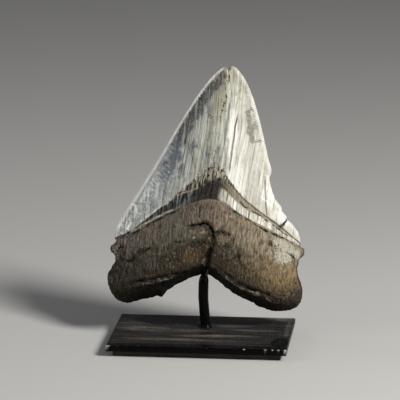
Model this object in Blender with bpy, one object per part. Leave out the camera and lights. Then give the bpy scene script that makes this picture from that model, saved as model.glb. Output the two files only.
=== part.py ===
"""A megalodon tooth on its black steel display stand.

The tooth grew as one piece: an enamel crown with serrated cutting edges, a dark neck band (the
bourlette) and a two-lobed root. It leans back a little on a bent steel post, held by one thin prong
in front and one behind. The post is brazed to a plate that stands on a smaller foot plate.

Lengths are written in millimetres and built in metres, +Z up. The origin is the centre of the foot
plate's underside, and the tooth's convex inner face looks towards -Y.
"""
import math

import bmesh
import bpy
import numpy as np

MM = 0.001
GAP = 0.3

# Stand
FOOT_SIZE = (79.0, 54.0, 2.4)
PLATE_SIZE = (85.0, 60.0, 3.0)
PLATE_BEVEL = 0.35
POST_RADIUS = 2.4
POST_FOOT_RADIUS = 3.3
POST_END_RADIUS = 1.7
POST_SHOULDER = 28.5
POST_Y = 9.0
PRONG_RADIUS = 0.85
PRONG_END_RADIUS = 0.5
PRONG_CLEARANCE = 0.5
TUBE_RESOLUTION = 3
POST_POINTS = 14

PLATE_TOP = FOOT_SIZE[2] + GAP + PLATE_SIZE[2]

# Post centre line, as (x, z) from the braze at its foot to its end under the tooth
POST_LINE = [
    (0.85, PLATE_TOP + GAP),
    (0.85, 6.7),
    (0.8, 7.6),
    (0.5, 10.5),
    (0.0, 16.5),
    (-0.25, 20.5),
    (-0.15, 26.0),
    (0.0, 29.6),
    (0.15, 31.7),
]

# Each prong leaves the post's side at these tooth points (x, y, z), then follows the tooth through
# these stations: the place across it and the level down it
FRONT_PRONG_START = [(0.1, -8.2, -1.8), (0.2, -8.5, 0.2)]
FRONT_PRONG_STATIONS = [(0.557, 3.32), (0.56, 3.16), (0.561, 3.03), (0.562, 2.97), (0.564, 2.88),
                        (0.567, 2.78), (0.572, 2.69)]
BACK_PRONG_START = [(0.0, -1.3, -5.0), (0.0, -1.3, -3.2), (0.0, -0.1, -1.9)]
BACK_PRONG_STATIONS = [(0.55, 3.9), (0.55, 3.7), (0.55, 3.4), (0.55, 3.1), (0.55, 2.9), (0.55, 2.7)]
PRONG_POINTS = 26

# Placing of the tooth: its notch rests over the post, and its top leans back
NOTCH = (0.0, 14.07, 30.96)
LEAN = math.radians(4.0)

# Outline of the tooth in its own plane, as (x, z) from the notch, read down each side.
# Each list is one stretch: crown edge, neck, root flank, and the turn of the lobe.
LEFT_STRETCHES = [
    [(7.4, 98.8), (3.2, 95.0), (-1.6, 89.1), (-6.8, 81.4), (-14.0, 69.7), (-22.9, 54.2),
     (-32.5, 38.5), (-39.7, 26.8), (-43.4, 18.9), (-43.7, 16.0)],
    [(-43.7, 16.0), (-43.0, 14.3)],
    [(-43.0, 14.3), (-45.3, 11.6), (-45.0, 9.6), (-43.2, 7.2), (-42.9, 5.6), (-44.4, 2.8),
     (-46.6, -1.0), (-47.1, -3.6), (-46.9, -6.5)],
    [(-46.9, -6.5), (-45.8, -9.2), (-44.1, -11.8)],
]
RIGHT_STRETCHES = [
    [(14.1, 99.2), (17.3, 95.4), (22.0, 85.8), (24.3, 78.8), (26.3, 71.5), (28.0, 64.3),
     (29.7, 56.7), (31.2, 48.3), (30.5, 46.8), (30.9, 44.2), (32.6, 38.5), (34.3, 34.5),
     (36.3, 32.8), (36.6, 30.9), (39.1, 27.4), (38.2, 25.2), (39.8, 25.9), (42.7, 23.3),
     (44.6, 20.4), (45.7, 16.0)],
    [(45.7, 16.0), (45.5, 13.6)],
    [(45.5, 13.6), (47.1, 12.9), (47.6, 11.7), (45.6, 7.9), (44.3, 5.2), (44.1, 2.5),
     (44.7, -0.6), (46.1, -4.2), (47.0, -7.6), (46.8, -10.0)],
    [(46.8, -10.0), (46.0, -12.3), (45.1, -13.9)],
]

# Rows that cross the tooth between the two outlines, each as the points from the left to its
# middle, and the points from there to the right. The ends are the stretches' own end points.
TIP_ROW = ([(8.9, 99.6), (9.9, 99.6), (10.5, 98.2)], [(11.2, 99.1), (12.6, 99.8)])
BASE_ROW = (
    [(-41.3, -14.0), (-37.9, -15.0), (-34.1, -14.9), (-29.7, -13.3), (-24.0, -11.4),
     (-18.6, -8.7), (-14.3, -6.0), (-10.0, -3.5), (-4.2, -1.2), (0.0, 0.0)],
    [(2.6, -1.0), (5.5, -3.1), (10.5, -6.9), (15.5, -10.0), (21.1, -12.7), (29.6, -16.7),
     (33.8, -17.6), (38.7, -17.6), (42.8, -16.1)],
)
FRONT_ROWS = [
    TIP_ROW,
    ([(-36.0, 19.7), (-29.5, 24.7), (-18.7, 33.8), (-9.5, 41.1), (-0.4, 47.7), (5.2, 50.3)],
     [(8.2, 49.4), (11.6, 45.3), (18.7, 37.2), (24.8, 32.3), (36.6, 23.5), (42.0, 18.8)]),
    ([(-35.8, 18.2), (-28.3, 23.6), (-21.0, 27.7), (-10.7, 32.2), (-5.4, 35.1), (4.7, 37.0)],
     [(10.4, 35.3), (14.7, 32.0), (25.0, 25.7), (37.7, 18.7)]),
    ([(-34.9, -6.4), (-25.1, -3.4), (-15.4, 0.8), (-5.7, 4.9), (2.0, 7.2)],
     [(6.3, 5.4), (13.3, 0.2), (22.8, -4.9), (29.9, -8.3), (37.0, -10.4)]),
    BASE_ROW,
]
BACK_ROWS = [
    TIP_ROW,
    ([(-30.0, 17.4), (-15.0, 24.4), (-5.0, 29.6), (4.5, 32.4)],
     [(14.0, 29.2), (25.0, 22.6), (37.0, 17.2)]),
    ([(-30.0, 15.4), (-15.0, 22.2), (-5.0, 27.4), (4.3, 30.2)],
     [(14.0, 27.0), (25.0, 20.4), (37.0, 15.0)]),
    ([(-33.0, -4.5), (-20.0, 2.5), (-8.0, 9.0), (1.5, 12.0)],
     [(8.0, 8.5), (20.0, 0.0), (33.0, -7.0)]),
    BASE_ROW,
]

# The rows are levels 0 to 4 down the tooth: tip, enamel's end, neck's end, ridge and base
CROWN_END = 1.0
NECK_END = 2.0
RIDGE = 3.0

# Levels between which the crown's cross-section turns into the root's
SECTION_CHANGE = (1.95, 2.7)

# Where the rows' middles lie across the tooth, from 0 at the left to 1 at the right
CREST = 0.55

# How far in from an outline the rows bend to meet it, as a share of the width
EDGE_PULL = 0.11

# Thickness in front of the cutting edges' plane, and behind it
CROWN_FRONT = 9.2
CROWN_TAPER = 0.6
ENAMEL_LEDGE = 0.5
NECK_FRONT = 10.2
ROOT_TOP_FRONT = 10.8
ROOT_SWELL = 5.2
RIDGE_TUCK = 0.6
CROWN_BACK = 2.6
ROOT_BACK = 5.2
BACK_LEDGE = 0.4

# Cross-section: the share of a straight roof in the crown's front, and powers of the distance
# from the crest, where a higher power is flatter in the middle and rounder at the flank
CROWN_ROOF = 0.5
CROWN_BACK_POWER = 2.5
ROOT_FRONT_POWER = 2.6
ROOT_BACK_POWER = 4.0

# Powers of the way down: how the root swells, tucks in at the ridge, and closes at the base
SWELL_POWER = 2.2
TUCK_POWER = 6.0
BASE_FRONT_POWER = 1.25
BASE_BACK_POWER = 3.0

# Serrations: about one a millimetre along each cutting edge
SERRATIONS = 99
SERRATION_DEPTH = 0.42
SERRATION_RISE = 0.15
SERRATION_FADE = 0.04
CROWN_ROWS = 18
POINTS_PER_ROW = 2 * SERRATIONS // CROWN_ROWS

# Pits as (x, z, radius, depth), and the small lump of rock under the left lobe
PITS = [(1.6, 22.6, 2.6, 2.2), (-39.5, 6.6, 3.2, 1.6)]
LUMP_X = -20.7
LUMP_DROP = 2.1
LUMP_WIDTH = 1.7
LUMP_LEVELS = (3.5, 4.0)

COLUMNS_LEFT = [0.0, 0.012, 0.035, 0.075, 0.13, 0.19, 0.245, 0.283, 0.301, 0.319, 0.36, 0.42,
                0.47, 0.505, 0.53]
COLUMNS_RIGHT = [0.55, 0.572, 0.6, 0.64, 0.69, 0.745, 0.8, 0.85, 0.895, 0.935, 0.967, 0.988, 1.0]
NECK_ROWS = [1.05, 1.5, 1.95]
ROOT_ROWS = [2.0, 2.05, 2.14, 2.24, 2.34, 2.42, 2.49, 2.57, 2.67, 2.78, 2.89, 3.0]
BASE_ROWS = [3.08, 3.25, 3.5, 3.75, 3.9, 4.0]

# Steps that a smooth curve takes between two of its points
CURVE_STEPS = 14


def smooth_points(points):
    """Points close together along a smooth curve through the given ones, and their lengths along it."""
    points = np.array(points, float)
    chords = np.linalg.norm(np.diff(points, axis=0), axis=1)
    tangents = np.gradient(points, np.concatenate([[0.0], np.cumsum(chords)]), axis=0)
    t = np.linspace(0.0, 1.0, CURVE_STEPS, endpoint=False)[:, None]
    dense = []
    for i, chord in enumerate(chords):
        start = (2 * t ** 3 - 3 * t ** 2 + 1) * points[i]
        end = (3 * t ** 2 - 2 * t ** 3) * points[i + 1]
        leave = (t ** 3 - 2 * t ** 2 + t) * tangents[i] * chord
        arrive = (t ** 3 - t ** 2) * tangents[i + 1] * chord
        dense.append(start + end + leave + arrive)
    dense = np.vstack(dense + [points[-1:]])
    length = np.concatenate([[0.0], np.cumsum(np.linalg.norm(np.diff(dense, axis=0), axis=1))])
    return dense, length


def smooth_curve(points, marks=None):
    """Return a function of 0..1 along a smooth curve through the points.

    Without marks, 0..1 is the share of its length. With marks, as (value, index of a point), the
    curve passes that point at that value.
    """
    dense, length = smooth_points(points)
    values = [0.0, 1.0]
    lengths = [0.0, length[-1]]
    for value, index in marks or []:
        values.insert(-1, value)
        lengths.insert(-1, length[index * CURVE_STEPS])

    def at(fraction):
        along = np.interp(fraction, values, lengths)
        return np.stack([np.interp(along, length, column) for column in dense.T], axis=-1)

    return at


def smoothstep(value, low, high):
    t = np.clip((value - low) / (high - low), 0.0, 1.0)
    return t * t * (3.0 - 2.0 * t)


LEFT_CURVES = [smooth_curve(points) for points in LEFT_STRETCHES]
RIGHT_CURVES = [smooth_curve(points) for points in RIGHT_STRETCHES]


def edge_position(curves, level):
    """Outline point at a level from 0 at the tip to 4 at the lobe's lowest turn."""
    stretch = min(int(level), len(curves) - 1)
    return curves[stretch](level - stretch)


def stretch_end(stretches, level):
    if level < len(stretches):
        return stretches[level][0]
    return stretches[-1][-1]


def crossing_rows(rows):
    """Make each crossing row a smooth curve that ends on the outlines."""
    curves = []
    for level, (left, right) in enumerate(rows):
        left_end = stretch_end(LEFT_STRETCHES, level)
        right_end = stretch_end(RIGHT_STRETCHES, level)
        curves.append(smooth_curve([left_end] + left + right + [right_end], [(CREST, len(left))]))
    return curves


def plan_grid(rows, u, levels):
    """(x, z) of each grid point, rows blended down the tooth and pulled onto the outlines."""
    curves = crossing_rows(rows)
    on_rows = [curve(u) for curve in curves]
    row_ends = [curve(np.array([0.0, 1.0])) for curve in curves]
    plan = np.zeros((len(levels), len(u), 2))
    left_pull = np.exp(-u / EDGE_PULL) * (1.0 - u)
    right_pull = np.exp(-(1.0 - u) / EDGE_PULL) * u
    for i, level in enumerate(levels):
        upper = min(int(level), len(rows) - 2)
        t = level - upper
        row = on_rows[upper] * (1.0 - t) + on_rows[upper + 1] * t
        left_end, right_end = row_ends[upper] * (1.0 - t) + row_ends[upper + 1] * t
        left_shift = edge_position(LEFT_CURVES, level) - left_end
        right_shift = edge_position(RIGHT_CURVES, level) - right_end
        row = row + left_pull[:, None] * left_shift + right_pull[:, None] * right_shift
        lump = LUMP_DROP * np.exp(-((row[:, 0] - LUMP_X) / LUMP_WIDTH) ** 2)
        row[:, 1] -= lump * smoothstep(level, *LUMP_LEVELS)
        plan[i] = row
    return plan


def across(u):
    """Distance from the crest: 0 on it, 1 at either edge."""
    return np.where(u < CREST, (CREST - u) / CREST, (u - CREST) / (1.0 - CREST))


def front_height(level):
    """Greatest thickness in front of the edges' plane at a level."""
    if level <= CROWN_END:
        return CROWN_FRONT * level ** CROWN_TAPER
    neck_top = CROWN_FRONT - ENAMEL_LEDGE
    if level < NECK_END:
        return neck_top + (NECK_FRONT - neck_top) * (level - CROWN_END)
    if level <= RIDGE:
        t = level - NECK_END
        swell = ROOT_SWELL * (1.0 - (1.0 - t) ** SWELL_POWER)
        return ROOT_TOP_FRONT + swell - RIDGE_TUCK * t ** TUCK_POWER
    ridge_height = ROOT_TOP_FRONT + ROOT_SWELL - RIDGE_TUCK
    return ridge_height * (1.0 - (level - RIDGE) ** BASE_FRONT_POWER)


def back_height(level):
    """Greatest thickness behind the edges' plane at a level."""
    if level <= CROWN_END:
        return CROWN_BACK * level ** CROWN_TAPER
    neck_back = CROWN_BACK - BACK_LEDGE
    if level < NECK_END:
        return CROWN_BACK - BACK_LEDGE * smoothstep(level, CROWN_END, 1.3)
    if level <= RIDGE:
        return neck_back + (ROOT_BACK - neck_back) * smoothstep(level, NECK_END, 2.8)
    return ROOT_BACK * math.sqrt(1.0 - (level - RIDGE) ** BASE_BACK_POWER)


def blend_sections(crown, root, level):
    share = smoothstep(level, *SECTION_CHANGE)
    return crown * (1.0 - share) + root * share


def front_profile(s, level):
    """Cross-section of the front: a low roof on the crown, rounded flanks on the root."""
    crown = CROWN_ROOF * (1.0 - s) + (1.0 - CROWN_ROOF) * (1.0 - s * s)
    root = np.sqrt(1.0 - s ** ROOT_FRONT_POWER)
    return blend_sections(crown, root, level)


def back_profile(s, level):
    crown = 1.0 - s ** CROWN_BACK_POWER
    root = np.sqrt(1.0 - s ** ROOT_BACK_POWER)
    return blend_sections(crown, root, level)


def front_depth(plan, u, levels):
    s = across(u)
    depth = np.stack([front_height(level) * front_profile(s, level) for level in levels])
    for x, z, radius, pit_depth in PITS:
        distance = np.hypot(plan[..., 0] - x, plan[..., 1] - z)
        depth -= pit_depth * np.exp(-2.0 * (distance / radius) ** 2)
    return depth


def back_depth(plan, u, levels):
    """Depth of the plain back, which doesn't change with the place in plan."""
    s = across(u)
    return np.stack([back_height(level) * back_profile(s, level) for level in levels])


def to_world(x, y, z):
    """Tooth coordinates in millimetres to world metres. y is positive behind the edges' plane."""
    world_y = NOTCH[1] + y * math.cos(LEAN) + z * math.sin(LEAN)
    world_z = NOTCH[2] - y * math.sin(LEAN) + z * math.cos(LEAN)
    return ((NOTCH[0] + x) * MM, world_y * MM, world_z * MM)


def serrated_edge(curves, side):
    """Points along a cutting edge: a peak and a notch for each serration."""
    count = 2 * SERRATIONS
    levels = np.linspace(0.0, 1.0, count + 1)
    points = curves[0](levels)
    along = np.gradient(points, axis=0)
    along /= np.linalg.norm(along, axis=1)[:, None]
    outward = np.stack([-along[:, 1], along[:, 0]], axis=1) * side
    is_peak = np.arange(count + 1) % 2 == 1
    swing = np.where(is_peak, SERRATION_RISE, SERRATION_RISE - SERRATION_DEPTH)
    fade = smoothstep(levels, 0.0, SERRATION_FADE) * smoothstep(1.0 - levels, 0.0, SERRATION_FADE)
    return points + outward * (swing * fade)[:, None]


def build_sheet(bm, grid, left_fine, right_fine, flip):
    """Fill one side of the tooth: a grid, with fans out to the serrated edges on the crown."""
    last = len(grid[0]) - 1
    last_gap = len(grid) - 2

    def face(corners):
        bm.faces.new(corners[::-1] if flip else corners)

    for i in range(len(grid) - 1):
        upper = grid[i]
        lower = grid[i + 1]
        for j in range(last):
            serrated = i < CROWN_ROWS and j in (0, last - 1)
            if not serrated and i == last_gap and j == 0:
                face([upper[j], lower[j], upper[j + 1]])
                face([lower[j], lower[j + 1], upper[j + 1]])
                continue
            if not serrated:
                face([upper[j], lower[j], lower[j + 1]])
                face([upper[j], lower[j + 1], upper[j + 1]])
                continue
            fine = left_fine if j == 0 else right_fine
            inner = 1 if j == 0 else last - 1
            first = i * POINTS_PER_ROW
            half = first + (POINTS_PER_ROW // 2 if i > 0 else 0)
            for k in range(first, first + POINTS_PER_ROW):
                apex = upper[inner] if k < half else lower[inner]
                turn = [fine[k], fine[k + 1], apex]
                face(turn if j == 0 else turn[::-1])
            bridge = [fine[half], lower[inner], upper[inner]]
            face(bridge if j == 0 else bridge[::-1])


def make_tooth(material):
    u = np.array(COLUMNS_LEFT + COLUMNS_RIGHT)
    crown_rows = [k / CROWN_ROWS for k in range(CROWN_ROWS + 1)]
    levels = crown_rows + NECK_ROWS + ROOT_ROWS + BASE_ROWS
    front_plan = plan_grid(FRONT_ROWS, u, levels)
    back_plan = plan_grid(BACK_ROWS, u, levels)
    front = front_depth(front_plan, u, levels)
    back = back_depth(back_plan, u, levels)

    bm = bmesh.new()
    left_fine = [bm.verts.new(to_world(x, 0.0, z)) for x, z in serrated_edge(LEFT_CURVES, -1.0)]
    right_fine = [bm.verts.new(to_world(x, 0.0, z)) for x, z in serrated_edge(RIGHT_CURVES, 1.0)]
    last_row = len(levels) - 1
    last_column = len(u) - 1
    front_grid = []
    back_grid = []
    for i in range(len(levels)):
        front_line = []
        back_line = []
        for j in range(len(u)):
            x, z = front_plan[i, j]
            if i <= CROWN_ROWS and j == 0:
                rim = left_fine[i * POINTS_PER_ROW]
            elif i <= CROWN_ROWS and j == last_column:
                rim = right_fine[i * POINTS_PER_ROW]
            elif i in (0, last_row) or j in (0, last_column):
                rim = bm.verts.new(to_world(x, 0.0, z))
            else:
                rim = None
            if rim is not None:
                front_line.append(rim)
                back_line.append(rim)
                continue
            front_line.append(bm.verts.new(to_world(x, -front[i, j], z)))
            x, z = back_plan[i, j]
            back_line.append(bm.verts.new(to_world(x, back[i, j], z)))
        front_grid.append(front_line)
        back_grid.append(back_line)
    build_sheet(bm, front_grid, left_fine, right_fine, flip=False)
    build_sheet(bm, back_grid, left_fine, right_fine, flip=True)
    bmesh.ops.recalc_face_normals(bm, faces=bm.faces)

    mesh = bpy.data.meshes.new("tooth")
    bm.to_mesh(mesh)
    bm.free()
    mesh.materials.append(material)
    return add_object("tooth", mesh)


def surface_point(rows, depth_of, side, u, level):
    columns = np.array([u])
    plan = plan_grid(rows, columns, [level])
    depth = depth_of(plan, columns, [level])
    return np.array([plan[0, 0, 0], side * depth[0, 0], plan[0, 0, 1]])


def along_surface(rows, depth_of, side, stations):
    """Tooth points that follow one side, a prong's radius and clearance off it.

    A station is a place across the tooth and a level down it.
    """
    path = []
    step = 0.01
    for u, level in stations:
        origin = surface_point(rows, depth_of, side, u, level)
        beside = surface_point(rows, depth_of, side, u + step, level) - origin
        below = surface_point(rows, depth_of, side, u, level + step) - origin
        normal = np.cross(beside, below)
        normal *= side * np.sign(normal[1]) / np.linalg.norm(normal)
        path.append(origin + normal * (PRONG_RADIUS + PRONG_CLEARANCE))
    return path


def add_object(name, data):
    obj = bpy.data.objects.new(name, data)
    bpy.context.scene.collection.objects.link(obj)
    return obj


def make_tube(name, points, radii, material):
    """A bent round bar along a poly spline, with its ends filled."""
    curve = bpy.data.curves.new(name, "CURVE")
    curve.dimensions = "3D"
    curve.bevel_depth = MM
    curve.bevel_resolution = TUBE_RESOLUTION
    curve.use_fill_caps = True
    curve.twist_mode = "MINIMUM"
    spline = curve.splines.new("POLY")
    spline.points.add(len(points) - 1)
    for spline_point, position, radius in zip(spline.points, points, radii):
        spline_point.co = (*position, 1.0)
        spline_point.radius = radius
    curve.materials.append(material)
    return add_object(name, curve)


def make_post(material):
    line = smooth_curve(POST_LINE[2:])
    centre = POST_LINE[:2] + [tuple(point) for point in line(np.linspace(0.0, 1.0, POST_POINTS))]
    points = [(x * MM, POST_Y * MM, z * MM) for x, z in centre]
    braze = [POST_FOOT_RADIUS, (POST_FOOT_RADIUS + POST_RADIUS) / 2]
    narrowing = (POST_RADIUS - POST_END_RADIUS) / (POST_LINE[-1][1] - POST_SHOULDER)
    bar = [POST_RADIUS - narrowing * max(0.0, z - POST_SHOULDER) for x, z in centre[2:]]
    return make_tube("post", points, braze + bar, material)


def make_prong(name, points, material):
    """A thin bar along a smooth curve through tooth points, narrowing to a blunt end."""
    line = smooth_curve(points)
    centre = [to_world(*point) for point in line(np.linspace(0.0, 1.0, PRONG_POINTS))]
    radii = [PRONG_RADIUS] * (PRONG_POINTS - 1) + [PRONG_END_RADIUS]
    return make_tube(name, centre, radii, material)


def make_slab(name, size, bottom, material):
    bpy.ops.mesh.primitive_cube_add(size=1.0)
    slab = bpy.context.active_object
    slab.name = name
    slab.data.name = name
    for vertex in slab.data.vertices:
        vertex.co.x *= size[0] * MM
        vertex.co.y *= size[1] * MM
        vertex.co.z = (vertex.co.z + 0.5) * size[2] * MM
    slab.location.z = bottom * MM
    bevel = slab.modifiers.new("edges", "BEVEL")
    bevel.width = PLATE_BEVEL * MM
    bevel.segments = 2
    slab.data.materials.append(material)
    return slab


def make_material(name, colour, roughness):
    material = bpy.data.materials.new(name)
    material.use_nodes = True
    shader = material.node_tree.nodes["Principled BSDF"]
    shader.inputs["Base Color"].default_value = (*colour, 1.0)
    shader.inputs["Roughness"].default_value = roughness
    shader.inputs["Metallic"].default_value = 0.0
    return material


def main():
    for obj in list(bpy.data.objects):
        bpy.data.objects.remove(obj, do_unlink=True)
    fossil = make_material("fossil", (0.40, 0.38, 0.32), 0.4)
    plate_black = make_material("plate_black", (0.020, 0.018, 0.016), 0.35)
    foot_black = make_material("foot_black", (0.022, 0.021, 0.020), 0.4)
    post_black = make_material("post_black", (0.010, 0.009, 0.009), 0.45)
    front_prong_black = make_material("front_prong_black", (0.010, 0.009, 0.009), 0.5)
    back_prong_black = make_material("back_prong_black", (0.010, 0.009, 0.009), 0.5)

    make_slab("base_foot", FOOT_SIZE, 0.0, foot_black)
    make_slab("base_plate", PLATE_SIZE, FOOT_SIZE[2] + GAP, plate_black)
    make_post(post_black)
    make_tooth(fossil)
    front_line = along_surface(FRONT_ROWS, front_depth, -1.0, FRONT_PRONG_STATIONS)
    make_prong("front_prong", FRONT_PRONG_START + front_line, front_prong_black)
    back_line = along_surface(BACK_ROWS, back_depth, 1.0, BACK_PRONG_STATIONS)
    make_prong("back_prong", BACK_PRONG_START + back_line, back_prong_black)


main()
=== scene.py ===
"""Megalodon tooth on a black steel stand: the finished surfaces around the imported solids.

Laid out as an add-on. Each operator models one piece or group of pieces, and the panel in the
sidebar lists them in the order in which they are made.

Places on the tooth are millimetres in its own plane, (x, z) from the notch between the root's
lobes, with depth in front of the cutting edges' plane. The scene is in metres, +Z up.
"""

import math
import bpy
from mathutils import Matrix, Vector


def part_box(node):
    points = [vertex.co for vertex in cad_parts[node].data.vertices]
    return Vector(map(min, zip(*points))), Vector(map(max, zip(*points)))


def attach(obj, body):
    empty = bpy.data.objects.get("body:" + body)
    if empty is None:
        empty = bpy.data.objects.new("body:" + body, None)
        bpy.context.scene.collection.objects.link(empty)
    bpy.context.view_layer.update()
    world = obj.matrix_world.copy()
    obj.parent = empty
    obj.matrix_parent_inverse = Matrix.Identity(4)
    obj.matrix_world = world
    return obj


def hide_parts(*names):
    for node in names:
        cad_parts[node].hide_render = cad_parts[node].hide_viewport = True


bl_info = {
    "name": "Megalodon Tooth",
    "version": (1, 0, 0),
    "blender": (4, 5, 0),
    "location": "3D View > Sidebar > Fossil",
    "description": "Builds a fossil shark tooth on its display stand",
    "category": "Add Mesh",
}

import bmesh
import bpy
import numpy as np
from bpy.props import FloatProperty, FloatVectorProperty, PointerProperty
from mathutils import Vector, noise

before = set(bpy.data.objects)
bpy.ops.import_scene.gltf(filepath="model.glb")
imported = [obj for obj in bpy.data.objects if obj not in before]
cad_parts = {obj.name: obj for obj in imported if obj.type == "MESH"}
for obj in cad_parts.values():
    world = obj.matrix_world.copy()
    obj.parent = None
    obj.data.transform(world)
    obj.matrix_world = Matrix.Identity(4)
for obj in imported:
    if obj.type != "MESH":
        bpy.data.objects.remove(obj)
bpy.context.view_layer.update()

MM = 0.001

# Placing of the tooth: its notch rests over the post, and its top leans back
NOTCH = (0.0, 14.07, 30.96)
LEAN = math.radians(4.0)

# Outline of the tooth, read down each side: crown edge, neck, root flank, and turn of the lobe
LEFT_STRETCHES = [
    [(7.4, 98.8), (3.2, 95.0), (-1.6, 89.1), (-6.8, 81.4), (-14.0, 69.7), (-22.9, 54.2),
     (-32.5, 38.5), (-39.7, 26.8), (-43.4, 18.9), (-43.7, 16.0)],
    [(-43.7, 16.0), (-43.0, 14.3)],
    [(-43.0, 14.3), (-45.3, 11.6), (-45.0, 9.6), (-43.2, 7.2), (-42.9, 5.6), (-44.4, 2.8),
     (-46.6, -1.0), (-47.1, -3.6), (-46.9, -6.5)],
    [(-46.9, -6.5), (-45.8, -9.2), (-44.1, -11.8)],
]
RIGHT_STRETCHES = [
    [(14.1, 99.2), (17.3, 95.4), (22.0, 85.8), (24.3, 78.8), (26.3, 71.5), (28.0, 64.3),
     (29.7, 56.7), (31.2, 48.3), (30.5, 46.8), (30.9, 44.2), (32.6, 38.5), (34.3, 34.5),
     (36.3, 32.8), (36.6, 30.9), (39.1, 27.4), (38.2, 25.2), (39.8, 25.9), (42.7, 23.3),
     (44.6, 20.4), (45.7, 16.0)],
    [(45.7, 16.0), (45.5, 13.6)],
    [(45.5, 13.6), (47.1, 12.9), (47.6, 11.7), (45.6, 7.9), (44.3, 5.2), (44.1, 2.5),
     (44.7, -0.6), (46.1, -4.2), (47.0, -7.6), (46.8, -10.0)],
    [(46.8, -10.0), (46.0, -12.3), (45.1, -13.9)],
]

# Rows that cross the tooth between the outlines: left to middle, and middle to right
TIP_ROW = ([(8.9, 99.6), (9.9, 99.6), (10.5, 98.2)], [(11.2, 99.1), (12.6, 99.8)])
BASE_ROW = (
    [(-41.3, -14.0), (-37.9, -15.0), (-34.1, -14.9), (-29.7, -13.3), (-24.0, -11.4),
     (-18.6, -8.7), (-14.3, -6.0), (-10.0, -3.5), (-4.2, -1.2), (0.0, 0.0)],
    [(2.6, -1.0), (5.5, -3.1), (10.5, -6.9), (15.5, -10.0), (21.1, -12.7), (29.6, -16.7),
     (33.8, -17.6), (38.7, -17.6), (42.8, -16.1)],
)
FRONT_ROWS = [
    TIP_ROW,
    ([(-36.0, 19.7), (-29.5, 24.7), (-18.7, 33.8), (-9.5, 41.1), (-0.4, 47.7), (5.2, 50.3)],
     [(8.2, 49.4), (11.6, 45.3), (18.7, 37.2), (24.8, 32.3), (36.6, 23.5), (42.0, 18.8)]),
    ([(-35.8, 18.2), (-28.3, 23.6), (-21.0, 27.7), (-10.7, 32.2), (-5.4, 35.1), (4.7, 37.0)],
     [(10.4, 35.3), (14.7, 32.0), (25.0, 25.7), (37.7, 18.7)]),
    ([(-34.9, -6.4), (-25.1, -3.4), (-15.4, 0.8), (-5.7, 4.9), (2.0, 7.2)],
     [(6.3, 5.4), (13.3, 0.2), (22.8, -4.9), (29.9, -8.3), (37.0, -10.4)]),
    BASE_ROW,
]
BACK_ROWS = [
    TIP_ROW,
    ([(-30.0, 17.4), (-15.0, 24.4), (-5.0, 29.6), (4.5, 32.4)],
     [(14.0, 29.2), (25.0, 22.6), (37.0, 17.2)]),
    ([(-30.0, 15.4), (-15.0, 22.2), (-5.0, 27.4), (4.3, 30.2)],
     [(14.0, 27.0), (25.0, 20.4), (37.0, 15.0)]),
    ([(-33.0, -4.5), (-20.0, 2.5), (-8.0, 9.0), (1.5, 12.0)],
     [(8.0, 8.5), (20.0, 0.0), (33.0, -7.0)]),
    BASE_ROW,
]

# The rows are levels 0 to 4 down the tooth: tip, enamel's end, neck's end, ridge and base
CROWN_END = 1.0
NECK_END = 2.0
RIDGE = 3.0
BASE = 4.0
SECTION_CHANGE = (1.95, 2.7)
ENAMEL_STEP = (-0.15, 0.2)
LEDGE_LEVELS = (0.5, 0.9)
LEDGE_END = 1.6
LEDGE_POWER = 6

# Where the rows' middles lie across the tooth, and how far in from an outline the rows bend
CREST = 0.55
EDGE_PULL = 0.11

# Thickness in front of the cutting edges' plane, and behind it
CROWN_FRONT = 9.2
CROWN_TAPER = 0.6
ENAMEL_LEDGE = 0.5
NECK_FRONT = 10.2
ROOT_TOP_FRONT = 10.8
ROOT_SWELL = 5.2
RIDGE_TUCK = 0.6
CROWN_BACK = 2.6
ROOT_BACK = 5.2
BACK_LEDGE = 0.4
CROWN_ROOF = 0.5
CROWN_BACK_POWER = 2.5
ROOT_FRONT_POWER = 2.6
ROOT_BACK_POWER = 4.0
SWELL_POWER = 2.2
TUCK_POWER = 6.0
BASE_FRONT_POWER = 1.25
BASE_BACK_POWER = 3.0

# Serrations along each cutting edge, and the lump of rock under the left lobe
SERRATIONS = 99
SERRATION_RISE = 0.15
SERRATION_FADE = 0.04
TICK_DEPTH = 0.38
TICK_REACH = 1.2
EDGE_BLUNTING = 0.2
EDGE_BAND = 8.0
EDGE_POINTS = 241
LUMP_X = -20.7
LUMP_DROP = 2.1
LUMP_WIDTH = 1.7
LUMP_LEVELS = (3.5, 4.0)
CURVE_STEPS = 14

# Natural relief, as (name, vertex group, size, strength, noise, whether it follows the fibres),
# where the strength is a share of the root's relief, and millimetres on the enamel
RELIEFS = [
    ("root_swells", "root", 7.0, 1.1, "BLENDER_ORIGINAL", False),
    ("root_lumps", "root", 2.6, 0.7, "BLENDER_ORIGINAL", False),
    ("root_pits", "lower_root", 1.5, 0.6, "VORONOI_F1", False),
    ("root_fibres", "upper_root", 1.1, 0.6, "BLENDER_ORIGINAL", True),
    ("neck_columns", "neck", 1.5, 0.6, "BLENDER_ORIGINAL", True),
    ("enamel_swells", "enamel", 3.4, 0.2, "BLENDER_ORIGINAL", True),
]
RELIEF_MID = 0.56
FIBRE_STRETCH = 0.14
UV_SCALE = 2.0
WANDER_SEED = 1

# The flat sheets that become the tooth's two sides: rows as (count, first level, last level)
COLUMNS = 148
EDGE_DENSITY = 0.38
ROW_BANDS = [(SERRATIONS, 0.0, 1.0), (12, 1.0, 2.0), (31, 2.0, 3.0), (17, 3.0, 4.0)]
ROW_COUNT = sum(count for count, first, last in ROW_BANDS)
SERRATED_REACH = 2.0
FINE_LEVELS = (0.88, 3.6)
FINE_TIP_LEVELS = (0.02, 0.46)
FINE_TIP_PLACES = (0.36, 0.72)

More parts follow.
